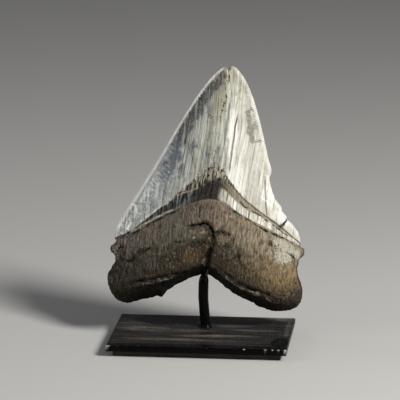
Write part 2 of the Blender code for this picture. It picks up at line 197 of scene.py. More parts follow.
# Lines of the crest and of the edge of the bright enamel right of it, as (z, x)
CREST_LINE = [
    (-20.0, 2.6), (20.0, 3.4), (37.0, 4.6), (51.2, 6.7), (70.0, 9.6), (93.4, 11.0), (99.0, 11.1),
]
BRIGHT_LINE = [
    (30.0, 11.6), (47.9, 11.6), (54.0, 11.7), (60.0, 11.6), (67.6, 11.0), (77.5, 11.9), (87.3, 13.0),
    (93.0, 14.3), (99.0, 15.2),
]

# Fine scores in the enamel, as (points, half width, darkness)
FRONT_SCORES = [
    ([(15.6, 78.8), (14.2, 71.2), (13.8, 65.7), (13.1, 60.0), (12.3, 53.9), (11.8, 47.9)], 0.3, 1.0),
    ([(14.2, 44.3), (14.5, 52.5), (15.6, 60.0)], 0.2, 0.45),
    ([(16.4, 42.6), (17.5, 53.8), (18.6, 62.0)], 0.2, 0.4),
    ([(10.4, 48.8), (10.0, 60.0), (9.6, 70.0), (10.2, 76.0)], 0.22, 0.55),
    ([(7.4, 54.4), (7.0, 62.0), (6.4, 70.0)], 0.2, 0.5),
    ([(4.4, 54.0), (3.2, 63.0), (2.0, 70.0)], 0.2, 0.5),
    ([(0.4, 53.0), (-1.6, 61.0), (-4.0, 68.6)], 0.22, 0.55),
    ([(-3.4, 49.6), (-6.4, 58.0), (-9.4, 65.0)], 0.22, 0.6),
    ([(12.6, 82.0), (12.2, 88.0), (11.6, 93.6)], 0.2, 0.4),
    ([(26.0, 34.0), (26.0, 44.0), (25.4, 52.0)], 0.2, 0.35),
    ([(28.5, 48.4), (28.7, 44.0), (29.0, 38.0), (29.2, 35.1), (30.2, 26.0)], 0.24, 0.85),
]

# Cracks in front, as (points, half width, depth)
FRONT_CRACKS = [
    ([(-8.4, 23.6), (-5.1, 24.6), (-1.2, 25.3), (0.7, 26.2), (2.3, 26.1), (3.8, 24.6), (5.2, 22.0),
     (8.5, 22.2), (12.2, 21.8)], 0.5, 1.3),
    ([(1.6, 26.2), (3.4, 25.2), (4.6, 23.0), (5.2, 20.4), (5.9, 17.6)], 0.6, 1.3),
    ([(4.4, 24.6), (5.1, 22.0), (5.5, 19.5), (5.3, 17.0), (4.9, 15.0), (4.4, 11.0)], 0.55, 1.2),
    ([(11.4, 22.0), (12.6, 20.5)], 0.3, 0.6),
    ([(-21.4, 16.8), (-25.3, 13.3), (-28.8, 11.2), (-32.1, 8.5), (-36.1, 5.9), (-40.4, 6.3)], 0.5, 1.0),
    ([(34.4, 15.6), (36.8, 13.0), (39.7, 11.8), (41.9, 9.8), (43.6, 7.2)], 0.4, 0.5),
    ([(40.6, 28.2), (39.0, 26.6), (37.9, 24.9), (36.2, 23.6), (34.6, 22.6)], 0.5, 1.2),
    ([(-9.2, 66.0), (-10.0, 62.5)], 0.3, 0.2), ([(31.4, 16.9), (31.9, 14.6)], 0.55, 0.8),
    ([(10.5, 98.4), (11.2, 94.2), (10.8, 92.4), (9.7, 90.1), (9.4, 86.9)], 0.3, 0.4),
    ([(9.4, 86.9), (9.9, 84.0), (8.9, 82.3), (8.3, 80.4)], 0.45, 0.35),
    ([(8.5, 79.8), (7.9, 77.9)], 0.35, 0.3),
    ([(13.6, 39.5), (18.4, 34.6), (22.9, 31.3), (29.0, 27.4), (34.2, 23.4), (41.7, 17.8)], 0.3, 0.3),
    ([(-17.0, 17.6), (-12.0, 17.0), (-6.0, 17.6), (-2.6, 17.2), (1.0, 17.4)], 0.3, 0.35),
    ([(-43.8, 12.2), (-41.2, 11.1), (-38.6, 9.2)], 0.35, 0.5),
    ([(-40.0, 13.2), (-41.2, 11.1), (-42.6, 8.8)], 0.3, 0.45), ([(-38.6, 12.4), (-41.2, 11.1)], 0.25, 0.35),
    ([(-45.6, 0.6), (-45.2, -3.2), (-44.4, -6.4)], 0.3, 0.4), ([(17.2, 11.4), (17.8, 9.6)], 0.45, 0.8),
    ([(-33.0, -6.6), (-26.0, -5.4), (-19.4, -3.6)], 0.35, 0.5),
    ([(-1.2, 35.2), (-2.0, 31.0), (-1.4, 27.6)], 0.25, 0.3),
]

# Grooves that follow the neck's lower end and the ridge over the root's underside
FRONT_GROOVES = [
    ([(-39.5, 15.6), (-34.6, 18.7), (-25.0, 24.7), (-13.8, 30.6), (-9.0, 32.8)], 0.4, 0.35),
    ([(9.9, 34.6), (16.5, 30.3), (21.5, 27.1), (29.1, 22.3), (37.3, 18.3), (43.4, 14.9)], 0.45, 0.45),
    ([(6.9, 6.6), (9.3, 4.3), (12.4, 1.5), (16.3, -1.3), (20.5, -3.3), (23.9, -5.1), (26.7, -5.9),
     (30.5, -7.0), (33.2, -9.3), (36.9, -10.5)], 0.7, 1.1),
    ([(-35.0, -4.0), (-29.9, -2.4), (-24.8, -1.5), (-20.1, -0.2), (-16.1, 1.1), (-12.1, 2.3), (-7.8, 3.2),
     (-2.9, 5.0)], 0.8, 1.1),
]

# Raised lips beside them, as (points, half width, height)
FRONT_LIPS = [
    ([(-39.0, 17.2), (-34.5, 20.3), (-25.0, 26.0), (-13.8, 31.9), (-9.5, 33.9)], 0.42, 0.3),
    ([(-34.6, 22.0), (-30.5, 25.0), (-21.7, 32.0), (-14.9, 36.7), (-8.5, 40.1), (-5.1, 41.4),
     (1.1, 43.7)], 0.35, 0.25),
    ([(7.4, 3.9), (10.0, 1.9), (13.2, -0.9), (17.0, -3.4), (21.0, -5.2), (25.0, -7.0), (29.0, -8.2),
     (33.0, -11.2), (37.4, -12.3)], 0.5, 0.5),
    ([(-34.6, -5.6), (-29.7, -4.0), (-24.7, -3.2), (-20.8, -1.9), (-16.3, -0.6), (-12.0, 0.8)], 0.4, 0.35),
    ([(-37.8, 27.0), (-35.7, 25.8)], 0.3, 0.12), ([(-39.4, 24.6), (-37.2, 23.6)], 0.3, 0.12),
    ([(-41.6, 19.6), (-39.4, 18.4)], 0.3, 0.12), ([(-36.4, 29.8), (-34.6, 28.2)], 0.26, 0.1),
    ([(-30.6, 39.4), (-28.4, 36.6)], 0.26, 0.1), ([(-26.4, 45.0), (-24.6, 41.8)], 0.24, 0.1),
]

# Pits in front, as (x, z, radius, depth)
FRONT_PITS = [
    (-41.4, 4.2, 1.6, 0.7), (-33.4, 8.6, 0.8, 0.5), (0.3, 26.0, 1.1, 1.4), (2.2, 25.7, 1.5, 1.9),
    (3.7, 24.1, 1.4, 2.0), (4.9, 22.4, 1.3, 1.9), (4.6, 20.6, 1.0, 1.5), (2.6, 23.2, 1.0, 0.8),
    (-1.3, 25.2, 0.9, 1.1), (7.2, 22.3, 0.9, 0.9), (9.6, 21.9, 0.8, 0.9), (12.6, 21.0, 0.7, 0.8),
    (-5.4, 24.4, 0.6, 0.7), (-4.7, 17.4, 0.7, 0.7), (-2.7, 17.5, 0.6, 0.5), (-0.1, 18.0, 0.9, 0.9),
    (1.0, 17.0, 0.7, 0.7), (17.5, 10.7, 0.9, 0.8), (17.1, 9.6, 0.6, 0.6), (10.1, 93.0, 0.5, 0.3),
    (8.6, 94.4, 0.5, 0.3), (9.1, 84.8, 0.5, 0.35), (8.3, 82.7, 0.55, 0.35), (9.7, 82.3, 0.5, 0.3),
    (8.7, 80.9, 0.55, 0.35), (7.9, 78.9, 0.5, 0.4), (8.1, 77.7, 0.4, 0.3), (7.4, 75.7, 0.45, 0.3),
    (0.7, 78.7, 0.5, 0.25), (32.0, 16.0, 0.9, 0.8), (-35.6, 6.2, 2.3, 1.1), (-39.6, 6.4, 2.6, 1.2),
    (-0.9, 6.6, 0.8, 0.4), (27.5, 9.0, 0.8, 0.4), (11.0, 14.2, 0.8, 0.5), (-12.5, 12.5, 0.9, 0.5),
]
# One ring, as (x, z, radius, half width, depth)
RING_PIT = (2.3, 75.9, 0.8, 0.22, 0.22)

# The left shoulder, which is layered like a shell's edge, and how strong its layers are
SHOULDER_AREA = (-40.6, 10.4, 4.6, 3.6, 0.0)
LAYER_DEPTH = 0.55
LAYER_DARKNESS = 0.6
SCORE_DEPTH = 0.12
LIP_PALENESS = 0.85
CRACK_RIM = 0.2

# Angular chips in the enamel, as (corners anticlockwise, depth), then small flakes, as (x, z,
# half width, half height, turn in degrees, depth)
# The angular chips' flats are painted pale as reflections
FRONT_FACETS = [
    ([(-35.1, 33.1), (-33.8, 31.4), (-32.1, 31.0), (-33.9, 33.4)], 0.3),
    ([(-33.8, 31.4), (-32.9, 28.6), (-32.1, 28.6), (-32.1, 31.0)], 0.35),
    ([(-38.1, 20.9), (-36.5, 20.1), (-34.5, 24.4), (-35.6, 24.8)], 0.45),
    ([(-42.0, 22.2), (-41.1, 21.0), (-39.5, 23.0), (-40.5, 23.8)], 0.3),
]
FRONT_CHIPS = [
    (5.6, 51.6, 0.7, 1.5, 12.0, -0.25), (8.8, 49.4, 0.6, 1.4, -8.0, -0.25),
    (2.4, 49.6, 0.5, 1.2, 18.0, -0.2),
]
BACK_CRACKS = [
    ([(8.9, 92.0), (7.0, 74.0), (5.2, 60.0)], 0.3, 0.25),
    ([(-7.0, 66.0), (-12.5, 46.0), (-14.5, 38.0)], 0.28, 0.22),
    ([(18.5, 60.0), (20.0, 44.0), (20.8, 30.5)], 0.3, 0.3),
    ([(-26.0, 7.0), (-17.0, 9.5), (-9.0, 13.0)], 0.4, 0.5),
    ([(12.0, 10.0), (19.0, 6.0), (27.0, 1.5), (33.0, 0.5)], 0.45, 0.6),
]
BACK_PITS = [
    (4.0, 20.5, 1.0, 0.7), (6.8, 18.6, 0.7, 0.5), (-2.2, 17.0, 0.8, 0.6), (14.0, 13.0, 0.7, 0.5),
    (-19.0, 6.0, 0.8, 0.5), (25.0, 8.0, 0.7, 0.4), (-33.0, 2.0, 1.0, 0.5), (37.0, -4.0, 0.9, 0.5),
]

# Tinted areas, each as (x, z, half width, half height, turn in degrees, strength)
# The back has them too, looked up at a place shifted by BACK_TINT_SHIFT
BACK_TINT_SHIFT = (3.5, -8.0)
TINTS = {
    "blue": [
        (7.4, 94.8, 2.0, 3.0, -50.0, 0.8), (4.8, 91.2, 2.6, 5.0, -48.0, 1.0),
        (0.0, 85.8, 3.4, 6.2, -38.0, 1.0), (-4.6, 78.4, 3.8, 6.6, -33.0, 1.0),
        (-9.2, 70.6, 3.8, 6.2, -31.0, 1.0), (-13.0, 63.0, 3.6, 6.2, -30.0, 1.0),
        (-14.8, 56.6, 4.0, 4.8, -25.0, 1.0), (-17.6, 51.0, 4.0, 4.8, -28.0, 1.0),
        (-20.0, 45.8, 3.6, 3.6, -28.0, 0.75), (-5.0, 62.0, 1.8, 3.4, -5.0, 0.7),
        (2.2, 59.0, 2.1, 3.6, 0.0, 0.6), (-11.0, 50.0, 1.8, 4.4, -10.0, 0.6),
        (6.5, 61.0, 1.5, 3.0, 0.0, 0.45), (-24.0, 33.6, 2.8, 2.0, 35.0, 0.4),
        (0.6, 78.6, 2.4, 4.4, -30.0, 0.45),
    ],
    "olive": [
        (7.0, 86.5, 4.6, 9.0, -8.0, 1.0), (5.6, 77.0, 3.4, 6.0, -8.0, 0.7),
        (11.0, 95.5, 4.5, 4.6, 0.0, 0.85), (16.5, 90.0, 3.4, 6.5, 20.0, 0.55),
        (-28.0, 29.2, 6.0, 1.8, 38.0, 0.5), (12.6, 45.2, 1.4, 4.5, 44.0, 0.8),
        (18.2, 38.2, 1.2, 5.0, 50.0, 0.8), (24.5, 32.6, 1.0, 5.0, 54.0, 0.6),
    ],
    "grey": [
        (20.2, 78.4, 1.5, 1.3, 0.0, 1.0), (22.0, 79.6, 0.7, 2.0, 30.0, 0.9),
        (20.6, 74.4, 1.3, 3.4, 8.0, 0.95), (21.3, 69.8, 1.9, 3.2, 12.0, 1.0),
        (22.6, 66.0, 1.2, 2.6, 16.0, 1.0), (25.0, 64.2, 2.6, 0.7, -6.0, 0.9),
        (21.2, 57.0, 2.4, 6.0, 8.0, 0.12), (24.0, 47.0, 2.2, 6.0, 6.0, 0.12),
        (15.5, 86.0, 1.6, 6.0, 6.0, 0.35), (22.5, 86.0, 2.6, 6.0, 25.0, 0.38),
        (23.2, 72.4, 2.2, 6.0, 12.0, 0.5),
    ],
    "khaki": [
        (2.5, 66.0, 6.5, 13.0, -8.0, 0.9), (-2.5, 53.0, 5.5, 9.0, -6.0, 0.65),
        (8.2, 57.0, 3.4, 8.0, 0.0, 0.7), (-8.5, 57.0, 2.6, 9.0, -10.0, 0.45),
        (7.5, 74.0, 3.0, 8.0, 0.0, 0.8), (-16.0, 40.0, 3.0, 4.0, -35.0, 0.4),
    ],
    "white": [
        (13.4, 64.0, 1.7, 15.0, -1.5, 1.0), (13.6, 50.0, 2.0, 9.0, 0.0, 0.9),
        (17.0, 46.0, 2.6, 9.0, 8.0, 0.55), (37.5, 29.0, 5.0, 4.2, 30.0, 0.5),
        (41.6, 22.0, 3.4, 3.6, 0.0, 0.3), (17.6, 60.0, 3.2, 12.0, 4.0, 0.3),
        # The areas at (-29.6, 37.0) and (-38.0, 24.0) are painted highlights on chipped flats
        (30.0, 38.0, 3.0, 5.0, 20.0, 0.6), (-29.6, 37.0, 1.4, 4.6, -34.0, 0.6),
        (-38.0, 24.0, 1.6, 4.4, -38.0, 0.45),
    ],
    "feather": [
        (-31.0, 33.5, 5.0, 9.0, -34.0, 1.0), (-24.5, 41.0, 5.5, 9.0, -34.0, 1.0),
        (-18.5, 46.0, 5.0, 8.0, -30.0, 0.6), (-19.5, 38.0, 5.0, 5.0, -35.0, 0.7),
        (-37.0, 25.0, 4.0, 6.0, -40.0, 0.8), (-19.0, 56.0, 2.0, 8.0, -32.0, 0.5),
    ],
    "green": [
        (-13.5, 22.5, 9.0, 6.5, 22.0, 0.9), (-25.0, 6.0, 6.0, 3.2, 20.0, 0.5),
        (33.0, 17.0, 4.0, 2.6, -30.0, 0.4),
    ],
    "amber": [
        (42.5, 1.5, 2.6, 5.5, 0.0, 0.8), (36.0, -2.0, 9.0, 7.0, -20.0, 0.65),
        (20.0, 4.0, 12.0, 5.0, -28.0, 0.5), (-5.5, 10.6, 5.0, 4.6, 20.0, 0.75),
        (-12.0, 7.0, 5.0, 3.0, 22.0, 0.4), (2.6, 14.5, 2.4, 3.6, 0.0, 0.4),
    ],
}
PALE_AREAS = [
    (36.5, 15.6, 4.2, 2.6, -32.0, 0.8), (40.8, 12.8, 4.6, 2.4, -35.0, 0.9),
    (38.0, 9.6, 4.4, 3.4, -25.0, 0.75), (43.6, 10.6, 3.0, 2.6, -20.0, 0.85),
    (-42.0, 10.2, 2.4, 2.8, 0.0, 0.4), (-45.0, -3.0, 1.2, 3.2, 8.0, 0.35), (0.2, 22.3, 1.4, 0.7, 20.0, 0.6),
    (6.2, 23.6, 1.3, 0.5, -10.0, 0.6), (3.5, 19.8, 0.7, 1.2, 10.0, 0.5), (-3.8, 19.2, 1.0, 0.6, 0.0, 0.45),
    (1.2, 8.0, 1.4, 1.8, 0.0, 0.45), (-20.6, -0.9, 0.6, 0.4, 20.0, 0.9), (-14.0, 1.2, 0.6, 0.4, 20.0, 0.6),
    (31.6, 11.6, 0.9, 0.9, 0.0, 0.5),
]

# Stand, in millimetres: plates, then bars. The post's line is (x, z) at POST_Y; a prong starts in
# the post, and its stations are (share across the tooth, level)
FOOT_SIZE = (79.0, 54.0, 2.4)
PLATE_SIZE = (85.0, 60.0, 3.0)
PLATE_BOTTOM = 2.7
PLATE_TOP = PLATE_BOTTOM + PLATE_SIZE[2]
PLATE_EDGE = 0.55
FOOT_EDGE = 0.35
SHEET_SPACING = 0.7
POST_Y = 9.0
POST_RADIUS = 2.4
POST_FOOT_RADIUS = 3.25
POST_END_RADIUS = 1.7
POST_SHOULDER = 28.5
POST_LINE = [
    (0.85, 5.7), (0.8, 7.6), (0.5, 10.5), (0.0, 16.5), (-0.25, 20.5), (-0.15, 26.0), (0.0, 29.6),
    (0.15, 31.7),
]
BRAZE_HEIGHT = 0.8
PRONG_RADIUS = 0.85
PRONG_SWELL = 0.5
PRONG_TAPER = (31.0, 43.0)
PRONG_CLEARANCE = 0.5
FRONT_PRONG_START = [(0.1, -6.2, -3.2), (0.1, -8.0, -2.0), (0.2, -8.5, 0.2)]
FRONT_PRONG_STATIONS = [
    (0.557, 3.32), (0.56, 3.16), (0.561, 3.03), (0.562, 2.97), (0.564, 2.88), (0.567, 2.78), (0.572, 2.69),
]
BACK_PRONG_START = [(0.0, -3.4, -5.6), (0.0, -1.3, -4.4), (0.0, -1.3, -3.2), (0.0, -0.1, -1.9)]
BACK_PRONG_STATIONS = [
    (0.55, 3.9), (0.55, 3.7), (0.55, 3.4), (0.55, 3.1), (0.55, 2.9), (0.55, 2.7),
]
BAR_STEPS = 64
BAR_RESOLUTION = 7

# Chips along the plate's front upper edge as places in x, and dusty and dark areas on its top; the dusty ones
# hold painted light along the back edge
PLATE_CHIPS = [
    (-42.2, 0.42), (-41.0, 0.26), (22.6, 0.24), (32.8, 0.26), (35.9, 0.24), (38.7, 0.28), (42.1, 0.45),
]
DUST_AND_LIGHT_AREAS = [
    # The first area, along the back edge at the right, is painted light as well as dust
    (20.0, 28.4, 21.0, 2.0, 0.0, 4.0), (22.0, 24.4, 18.0, 2.0, 0.0, 0.9), (40.4, 10.0, 1.3, 16.0, 0.0, 0.6),
    (-37.0, 28.2, 5.0, 1.6, 0.0, 0.9), (-27.0, 3.0, 13.0, 5.0, -4.0, 0.6),
    (-34.0, 13.0, 8.0, 5.0, 0.0, 0.3), (8.0, -8.0, 19.0, 2.4, 2.0, 0.75), (12.0, 12.0, 10.0, 3.0, 0.0, 0.4),
    (-8.0, -16.0, 28.0, 2.6, 0.0, 0.4), (26.0, 4.0, 12.0, 2.0, 0.0, 0.5), (-6.0, 1.0, 12.0, 2.4, 0.0, 0.45),
]
CLEAN_AREAS = [
    (-19.0, 20.0, 14.0, 7.0, 0.0, 1.0), (39.0, -18.0, 4.0, 8.0, 0.0, 1.0),
    (0.0, -27.5, 44.0, 3.0, 0.0, 0.9), (14.0, 17.0, 12.0, 2.4, 0.0, 0.5),
]
# Finishes: roughness, coat and sheen of the fossil, and how deep its bump and the paint's are, in metres
ENAMEL_ROUGHNESS = 0.34
ROOT_ROUGHNESS = 0.72
ENAMEL_COAT = 0.6
ENAMEL_COAT_ROUGHNESS = 0.22
FOSSIL_SPECULAR = 0.22
FOSSIL_BUMP = 0.0003
PAINT_BUMP = 0.0001
DUST_ROUGHNESS = 0.75
BARE_STEEL = (0.42, 0.42, 0.4)
TOOTH_SMOOTH_BELOW = math.radians(48.0)
STAND_SMOOTH_BELOW = math.radians(40.0)

# Paints, as (roughness, specular, dust all over, specks, seed, whether masks place dust and chips)
PAINTS = {
    "plate_paint": (0.3, 0.06, 0.2, 0.6, 3.0, True),
    "foot_paint": (0.5, 0.25, 0.5, 0.0, 5.0, False),
    "bar_paint": (0.26, 0.08, 0.02, 0.0, 7.0, False),
}

# Studio: lights as (name, place, height of the target over the floor, size, colour), all in metres
LIGHTS = [
    ("key", (0.75, -0.55, 0.75), 0.07, 0.35, (1.0, 0.98, 0.95)),
    ("fill", (-1.0, -0.55, 0.5), 0.07, 0.6, (0.93, 0.96, 1.0)),
    ("rim", (-0.8, 0.2, 0.45), 0.08, 0.4, (0.95, 0.97, 1.0)),
]
FLOOR_SIZE = 14.0
SKY_COLOUR = (0.8, 0.82, 0.85)
SKY_STRENGTH = 0.12
CAMERA_CLIP = (0.05, 30.0)
CAMERA_TARGET = Vector((-0.000944, 0.0, 0.06983))
CAMERA_DISTANCE = 1.41667
CAMERA_AZIMUTH = math.radians(5.78)
CAMERA_ELEVATION = math.radians(12.35)
CAMERA_LENS = 270.1


# ---------------------------------------------------------------- the tooth's plain shape

def smoothstep(value, low, high):
    t = np.clip((value - low) / (high - low), 0.0, 1.0)
    return t * t * (3.0 - 2.0 * t)


def smooth_curve(points, marks=()):
    """Return a function of 0..1 along a smooth curve through the points.

    0..1 is the share of its length, or with marks, as (value, index of a point), the curve passes
    that point at that value.
    """
    points = np.array(points, float)
    chords = np.linalg.norm(np.diff(points, axis=0), axis=1)
    tangents = np.gradient(points, np.concatenate([[0.0], np.cumsum(chords)]), axis=0)
    t = np.linspace(0.0, 1.0, CURVE_STEPS, endpoint=False)[:, None]
    dense = []
    for i, chord in enumerate(chords):
        start = (2 * t ** 3 - 3 * t ** 2 + 1) * points[i]
        end = (3 * t ** 2 - 2 * t ** 3) * points[i + 1]
        leave = (t ** 3 - 2 * t ** 2 + t) * tangents[i] * chord
        arrive = (t ** 3 - t ** 2) * tangents[i + 1] * chord
        dense.append(start + end + leave + arrive)
    dense = np.vstack(dense + [points[-1:]])
    length = np.concatenate([[0.0], np.cumsum(np.linalg.norm(np.diff(dense, axis=0), axis=1))])
    values = [0.0] + [value for value, index in marks] + [1.0]
    lengths = [0.0] + [length[index * CURVE_STEPS] for value, index in marks] + [length[-1]]

    def at(fraction):
        along = np.interp(fraction, values, lengths)
        return np.stack([np.interp(along, length, column) for column in dense.T], axis=-1)

    return at


LEFT_CURVES = [smooth_curve(points) for points in LEFT_STRETCHES]
RIGHT_CURVES = [smooth_curve(points) for points in RIGHT_STRETCHES]
WIDTH_LEVELS = np.linspace(0.0, 1.0, 21)
ROW_WIDTHS = (WIDTH_LEVELS, (RIGHT_CURVES[0](WIDTH_LEVELS) - LEFT_CURVES[0](WIDTH_LEVELS))[:, 0])


def stretch_end(stretches, level):
    if level < len(stretches):
        return stretches[level][0]
    return stretches[-1][-1]


def crossing_rows(rows):
    curves = []
    for level, (left, right) in enumerate(rows):
        ends = [stretch_end(LEFT_STRETCHES, level)], [stretch_end(RIGHT_STRETCHES, level)]
        curves.append(smooth_curve(ends[0] + left + right + ends[1], [(CREST, len(left))]))
    return curves


def plan_places(rows, u, level):
    """(x, z) of each place: rows blended down the tooth and pulled onto the outlines."""
    curves = crossing_rows(rows)
    plan = np.zeros((len(u), 2))
    left_pull = (np.exp(-u / EDGE_PULL) * (1.0 - u))[:, None]
    right_pull = (np.exp(-(1.0 - u) / EDGE_PULL) * u)[:, None]
    band = np.clip(level.astype(int), 0, len(curves) - 2)
    for upper in range(len(curves) - 1):
        here = band == upper
        t = (level[here] - upper)[:, None]
        above = curves[upper]
        below = curves[upper + 1]
        row = above(u[here]) * (1.0 - t) + below(u[here]) * t
        left_end = above(0.0) * (1.0 - t) + below(0.0) * t
        right_end = above(1.0) * (1.0 - t) + below(1.0) * t
        row = row + left_pull[here] * (LEFT_CURVES[upper](t[:, 0]) - left_end)
        plan[here] = row + right_pull[here] * (RIGHT_CURVES[upper](t[:, 0]) - right_end)
    lump = LUMP_DROP * np.exp(-((plan[:, 0] - LUMP_X) / LUMP_WIDTH) ** 2)
    plan[:, 1] -= lump * smoothstep(level, *LUMP_LEVELS)
    return plan


def front_height(level):
    """Greatest thickness in front of the edges' plane, without the enamel's ledge."""
    crown_level = np.clip(level, 0.0, CROWN_END)
    ledge = ENAMEL_LEDGE * smoothstep(crown_level, *LEDGE_LEVELS)
    crown = CROWN_FRONT * crown_level ** CROWN_TAPER - ledge
    neck_top = CROWN_FRONT - ENAMEL_LEDGE
    neck = neck_top + (NECK_FRONT - neck_top) * np.clip(level - CROWN_END, 0.0, 1.0)
    t = np.clip(level - NECK_END, 0.0, 1.0)
    root = NECK_FRONT + (ROOT_TOP_FRONT - NECK_FRONT) * smoothstep(level, 2.0, 2.03)
    root = root + ROOT_SWELL * (1.0 - (1.0 - t) ** SWELL_POWER) - RIDGE_TUCK * t ** TUCK_POWER
    under = 1.0 - np.clip(level - RIDGE, 0.0, 1.0) ** BASE_FRONT_POWER
    height = np.where(level <= CROWN_END, crown, np.where(level < NECK_END, neck, root))
    return height * np.where(level > RIDGE, under, 1.0)


def back_height(level):
    crown_level = np.clip(level, 0.0, CROWN_END)
    ledge = BACK_LEDGE * smoothstep(crown_level, *LEDGE_LEVELS)
    crown = CROWN_BACK * crown_level ** CROWN_TAPER - ledge
    neck_back = CROWN_BACK - BACK_LEDGE
    root = neck_back + (ROOT_BACK - neck_back) * smoothstep(level, NECK_END, 2.8)
    under = np.sqrt(1.0 - np.clip(level - RIDGE, 0.0, 1.0) ** BASE_BACK_POWER)
    return np.where(level <= CROWN_END, crown, root * under)


def from_crest(u):
    """Distance from the crest: 0 on it, 1 at either edge."""
    return np.where(u < CREST, (CREST - u) / CREST, (u - CREST) / (1.0 - CREST))


def cross_section(level, crown, root):
    share = smoothstep(level, *SECTION_CHANGE)
    return crown * (1.0 - share) + root * share


def front_section(s, level):
    crown = CROWN_ROOF * (1.0 - s) + (1.0 - CROWN_ROOF) * (1.0 - s * s)
    return cross_section(level, crown, np.sqrt(1.0 - s ** ROOT_FRONT_POWER))


def back_section(s, level):
    return cross_section(level, 1.0 - s ** CROWN_BACK_POWER, np.sqrt(1.0 - s ** ROOT_BACK_POWER))


# How the sides differ: rows, plain thickness, section across, the enamel's ledge and y's sign
FRONT_FORM = (FRONT_ROWS, front_height, front_section, ENAMEL_LEDGE, -1.0)
BACK_FORM = (BACK_ROWS, back_height, back_section, BACK_LEDGE, 1.0)


def to_world(x, y, z):
    """Tooth millimetres to world metres. y is positive behind the edges' plane."""
    world_y = NOTCH[1] + y * math.cos(LEAN) + z * math.sin(LEAN)
    world_z = NOTCH[2] - y * math.sin(LEAN) + z * math.cos(LEAN)
    return np.stack([NOTCH[0] + x, world_y, world_z], axis=-1) * MM


# ---------------------------------------------------------------- marks on the tooth

def wander(plan, size, seed):
    """Smooth random offsets, from -1 to 1, that make a drawn mark irregular."""
    return np.array([noise.noise_vector((x / size, z / size, seed))[:2] for x, z in plan])


def line_distance(plan, points):
    """Distance from a line through the points, and the length along it to the nearest place."""
    distance = np.full(len(plan), np.inf)
    length = np.zeros(len(plan))
    points = np.array(points, float)
    passed = 0.0
    for start, end in zip(points[:-1], points[1:]):
        along = end - start
        t = np.clip((plan - start) @ along / (along @ along), 0.0, 1.0)
        away = np.linalg.norm(plan - start - t[:, None] * along, axis=1)
        nearer = away < distance
        distance[nearer] = away[nearer]
        length[nearer] = passed + t[nearer] * np.linalg.norm(along)
        passed += np.linalg.norm(along)
    return distance, length, passed


def short_of_ends(length, total, share):
    """1 along a line, sinking to 0 over a share of it at either end."""
    return smoothstep(length, 0.0, share * total) * smoothstep(total - length, 0.0, share * total)


def ragged_line(plan, points, half_width):
    """Mask of a line that narrows at its ends, and opens and closes along the way."""
    distance, length, total = line_distance(plan, points)
    beat = np.array([noise.noise((value / 2.3, total, 0.5)) for value in length])
    strength = (0.35 + 0.65 * short_of_ends(length, total, 0.2)) * (0.8 + 0.75 * beat)
    strength = np.clip(strength, 0.12, 1.1)
    width = half_width * (0.45 + 0.75 * strength)
    return strength * (1.0 - smoothstep(distance, 0.25 * width, 1.3 * width))


def inside_area(plan, x, z, half_width, half_height, turn):
    """Distance from an area's middle, where 1 is its rim."""
    angle = math.radians(turn)
    dx = plan[:, 0] - x
    dz = plan[:, 1] - z
    across = (dx * math.cos(angle) + dz * math.sin(angle)) / half_width
    upright = (dz * math.cos(angle) - dx * math.sin(angle)) / half_height
    return np.hypot(across, upright)


def inside_corners(plan, corners):
    """How far each place lies inside a convex shape."""
    inside = np.full(len(plan), np.inf)
    for start, end in zip(corners, corners[1:] + corners[:1]):
        along = np.subtract(end, start)
        across = np.array((-along[1], along[0])) / np.hypot(*along)
        inside = np.minimum(inside, (plan - start) @ across)
    return inside


def tint(plan, areas):
    """Strength of a tint made of soft areas."""
    strength = np.zeros(len(plan))
    for *area, most in areas:
        strength = np.maximum(strength, most * (1.0 - smoothstep(inside_area(plan, *area), 0.55, 1.35)))
    return strength


